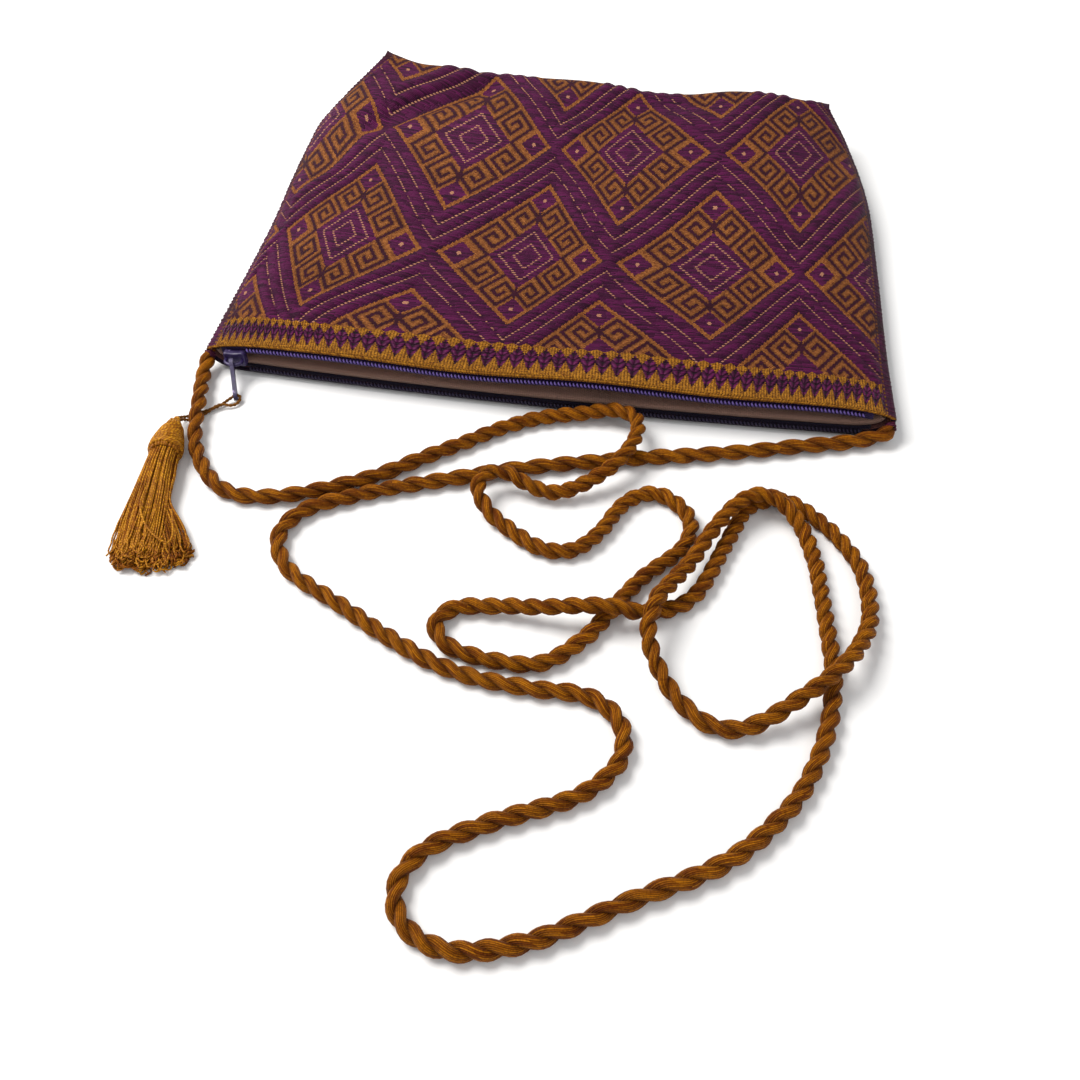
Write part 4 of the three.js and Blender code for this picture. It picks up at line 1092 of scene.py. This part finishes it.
skirt = Build()
loops = 128
golden = math.pi * (3 - math.sqrt(5))
for i in range(loops):
    rad, ang = math.sqrt((i + 0.5) / loops), i * golden
    p0, q0 = rad * math.cos(ang), rad * math.sin(ang)
    over = q0 > -0.05
    da = RNG.uniform(0.1, 0.3)
    p1, q1 = p0 * math.cos(da) - q0 * math.sin(da), p0 * math.sin(da) + q0 * math.cos(da)
    p1 = p0 + np.clip(p1 - p0, -0.2, 0.2)
    end_p = -0.5 + 0.5 * p0 + RNG.uniform(-0.12, 0.12) if over else 0.72 * p0 + 0.27 + RNG.uniform(-0.06, 0.06)
    end_p = float(np.clip(end_p, -1.0, 1.0))
    sink = -0.3 * q0 - 0.25 if over else 0.2 - 0.2 * q0
    long = sk_s[-1] * hem_at(end_p) * RNG.uniform(0.84, 1.0) - 0.6
    s = np.linspace(-1.5, long, 26)
    f = np.clip(s / sk_s[-1], 0, 1)
    ph, am = RNG.uniform(0, 6, 4), RNG.uniform(0.03, 0.09)
    crimp = 0.05 * np.clip((f - 0.62) / 0.3, 0, 1) ** 1.5
    wob = lambda k: am * f**1.3 * np.sin(f * RNG.uniform(4, 9) + ph[k]) + crimp * np.sin(f * RNG.uniform(24, 62) + ph[k])
    flow = (end_p - p0) * f**1.15
    waist = 1.0 if over else 1 - (0.36 if p0 > 0 else 0.1) * np.exp(-(((f - 0.4) / 0.17) ** 2))
    down = skirt_point(s, (p0 + flow) * waist + wob(0), q0 + sink * f + 1.6 * wob(1))
    back = skirt_point(s[::-1], ((p1 + flow) * waist + wob(2))[::-1], (q1 + sink * f + 1.6 * wob(3))[::-1])
    dirn = unit(down[-1] - down[-2])
    curl = np.array([RNG.uniform(-0.9, 0.9), 0, RNG.uniform(-0.2, 0.9)])
    tip = (down[-1] + back[0]) / 2 + dirn * RNG.uniform(0.5, 1.7) + curl
    tip[2] = max(tip[2], 0.45)
    line, _ = spline(np.vstack([down, tip[None], back]), 0.95)
    line[:, 2] = np.maximum(line[:, 2], 0.38)
    shade = 1 if RNG.uniform() < (0.1 if over else 0.45) else 0
    tube(skirt, line, 0.25 + RNG.uniform(-0.03, 0.04), 5, mat=shade, seed_v=RNG.uniform())
# tufts of curled ends along the hem, most in the darker yarn copy as painted shade
for i in range(84):
    p_t = RNG.uniform(-1, 1)
    s_t = sk_s[-1] * hem_at(p_t) - RNG.uniform(0.4, 6.5)
    c0 = skirt_point(np.array([s_t]), 0.95 * p_t, RNG.uniform(-0.9, -0.1))[0]
    t = np.linspace(0, RNG.uniform(1.0, 1.7) * 2 * math.pi, 10)
    ph = RNG.uniform(0, 6, 3)
    a_t, b_t = RNG.uniform(0.6, 1.6), RNG.uniform(0.8, 2.0)
    pts = c0 + np.stack([a_t * np.cos(t + ph[0]), b_t * np.sin(t + ph[1]), 0.6 * np.sin(0.8 * t + ph[2])], -1) + RNG.normal(0, 0.22, (10, 3))
    line, _ = spline(pts, 0.5)
    line[:, 2] = np.maximum(line[:, 2], 0.36)
    tube(skirt, line, 0.25 + RNG.uniform(-0.03, 0.04), 5, mat=1 if RNG.uniform() < 0.65 else 0, seed_v=RNG.uniform())
# a loose loop lying across the fan, and a few stray ends
stray = [(-106.4, -62.0, 7.2), (-105.7, -67.9, 6.8), (-103.0, -73.0, 6.2), (-99.8, -76.4, 5.8), (-95.9, -78.8, 5.4), (-93.8, -79.0, 5.0), (-93.4, -77.0, 5.0), (-95.0, -72.0, 5.4), (-97.0, -67.5, 5.6)]
line, _ = spline(stray, 0.9)
tube(skirt, line, 0.3, 6)
for dx, bend in ((-9.5, -2.0), (-4.0, 1.5), (3.0, -1.0), (8.0, 2.0)):
    b0 = np.array([-99.5 + dx * 0.8, -76.0, 3.6])
    line, _ = spline([b0, b0 + [dx * 0.12, -4, -0.6], b0 + [dx * 0.2 + bend, -7.5, -2.2]], 0.8)
    line[:, 2] = np.maximum(line[:, 2], 0.4)
    tube(skirt, line, 0.26, 6)
skirt_o = skirt.make("tassel_yarns", [YARN, YARN_SHADED])
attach(skirt_o, "root")
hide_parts("tassel_skirt")

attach(tie_o, "root")
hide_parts("pull_tie")
tie_pts, _ = spline(TIE, 1.2)

# ------------------------------------------------------------------- studio
def floor_material():
    m = Mat("floor_paper", 0.85, Specular_IOR_Level=0.15)
    n = m.noise(3.0, 3.0)
    return m.finish(m.mix(n, (0.86, 0.86, 0.86, 1), (0.89, 0.89, 0.89, 1)), m.noise(900.0, 2.0) * 0.01)


fb = Build()
gx, gy = np.meshgrid(np.linspace(-3000, 3000, 5), np.linspace(-3000, 3000, 5))
fp = np.stack([gx, gy, np.full_like(gx, -0.02)], -1)
fb.grid(fp, {"UVMap": fp[..., :2] / 6000 + 0.5})
floor = fb.make("studio_floor", [floor_material()])


def area(name, place, aim, size, watts, colour=(1, 1, 1)):
    d = bpy.data.lights.new(name, "AREA")
    d.energy, d.size, d.color = watts, size, colour
    o = bpy.data.objects.new(name, d)
    o.location = place
    o.rotation_euler = (Vector(aim) - Vector(place)).to_track_quat("-Z", "Y").to_euler()
    bpy.context.scene.collection.objects.link(o)
    return o


area("key", (-0.62, 0.08, 0.9), (0, 0, 0), 0.6, 15.0, (1.0, 0.98, 0.95))
area("fill", (0.6, -0.7, 0.9), (0, 0, 0), 1.2, 3.0, (0.97, 0.98, 1.0))
world = bpy.data.worlds.new("studio")
world.use_nodes = True
world.node_tree.nodes["Background"].inputs[0].default_value = (1, 1, 1, 1)
world.node_tree.nodes["Background"].inputs[1].default_value = 0.5
bpy.context.scene.world = world

yaw, elev = math.radians(8.807), math.radians(49.0)
fwd = Vector((-math.sin(yaw) * math.cos(elev), math.cos(yaw) * math.cos(elev), -math.sin(elev)))
right = Vector((math.cos(yaw), math.sin(yaw), 0))
up = right.cross(fwd)
cam_d = bpy.data.cameras.new("camera")
cam_d.sensor_width, cam_d.lens = 36.0, 38.33
cam_d.clip_start, cam_d.clip_end = 0.01, 20.0
cam = bpy.data.objects.new("camera", cam_d)
m4 = Matrix((right, up, -fwd)).transposed().to_4x4()
m4.translation = Vector(to_row([39.887, -269.088, 245.697]))
cam.matrix_world = m4
bpy.context.scene.collection.objects.link(cam)
bpy.context.scene.camera = cam
bpy.context.scene.view_settings.view_transform = "Standard"
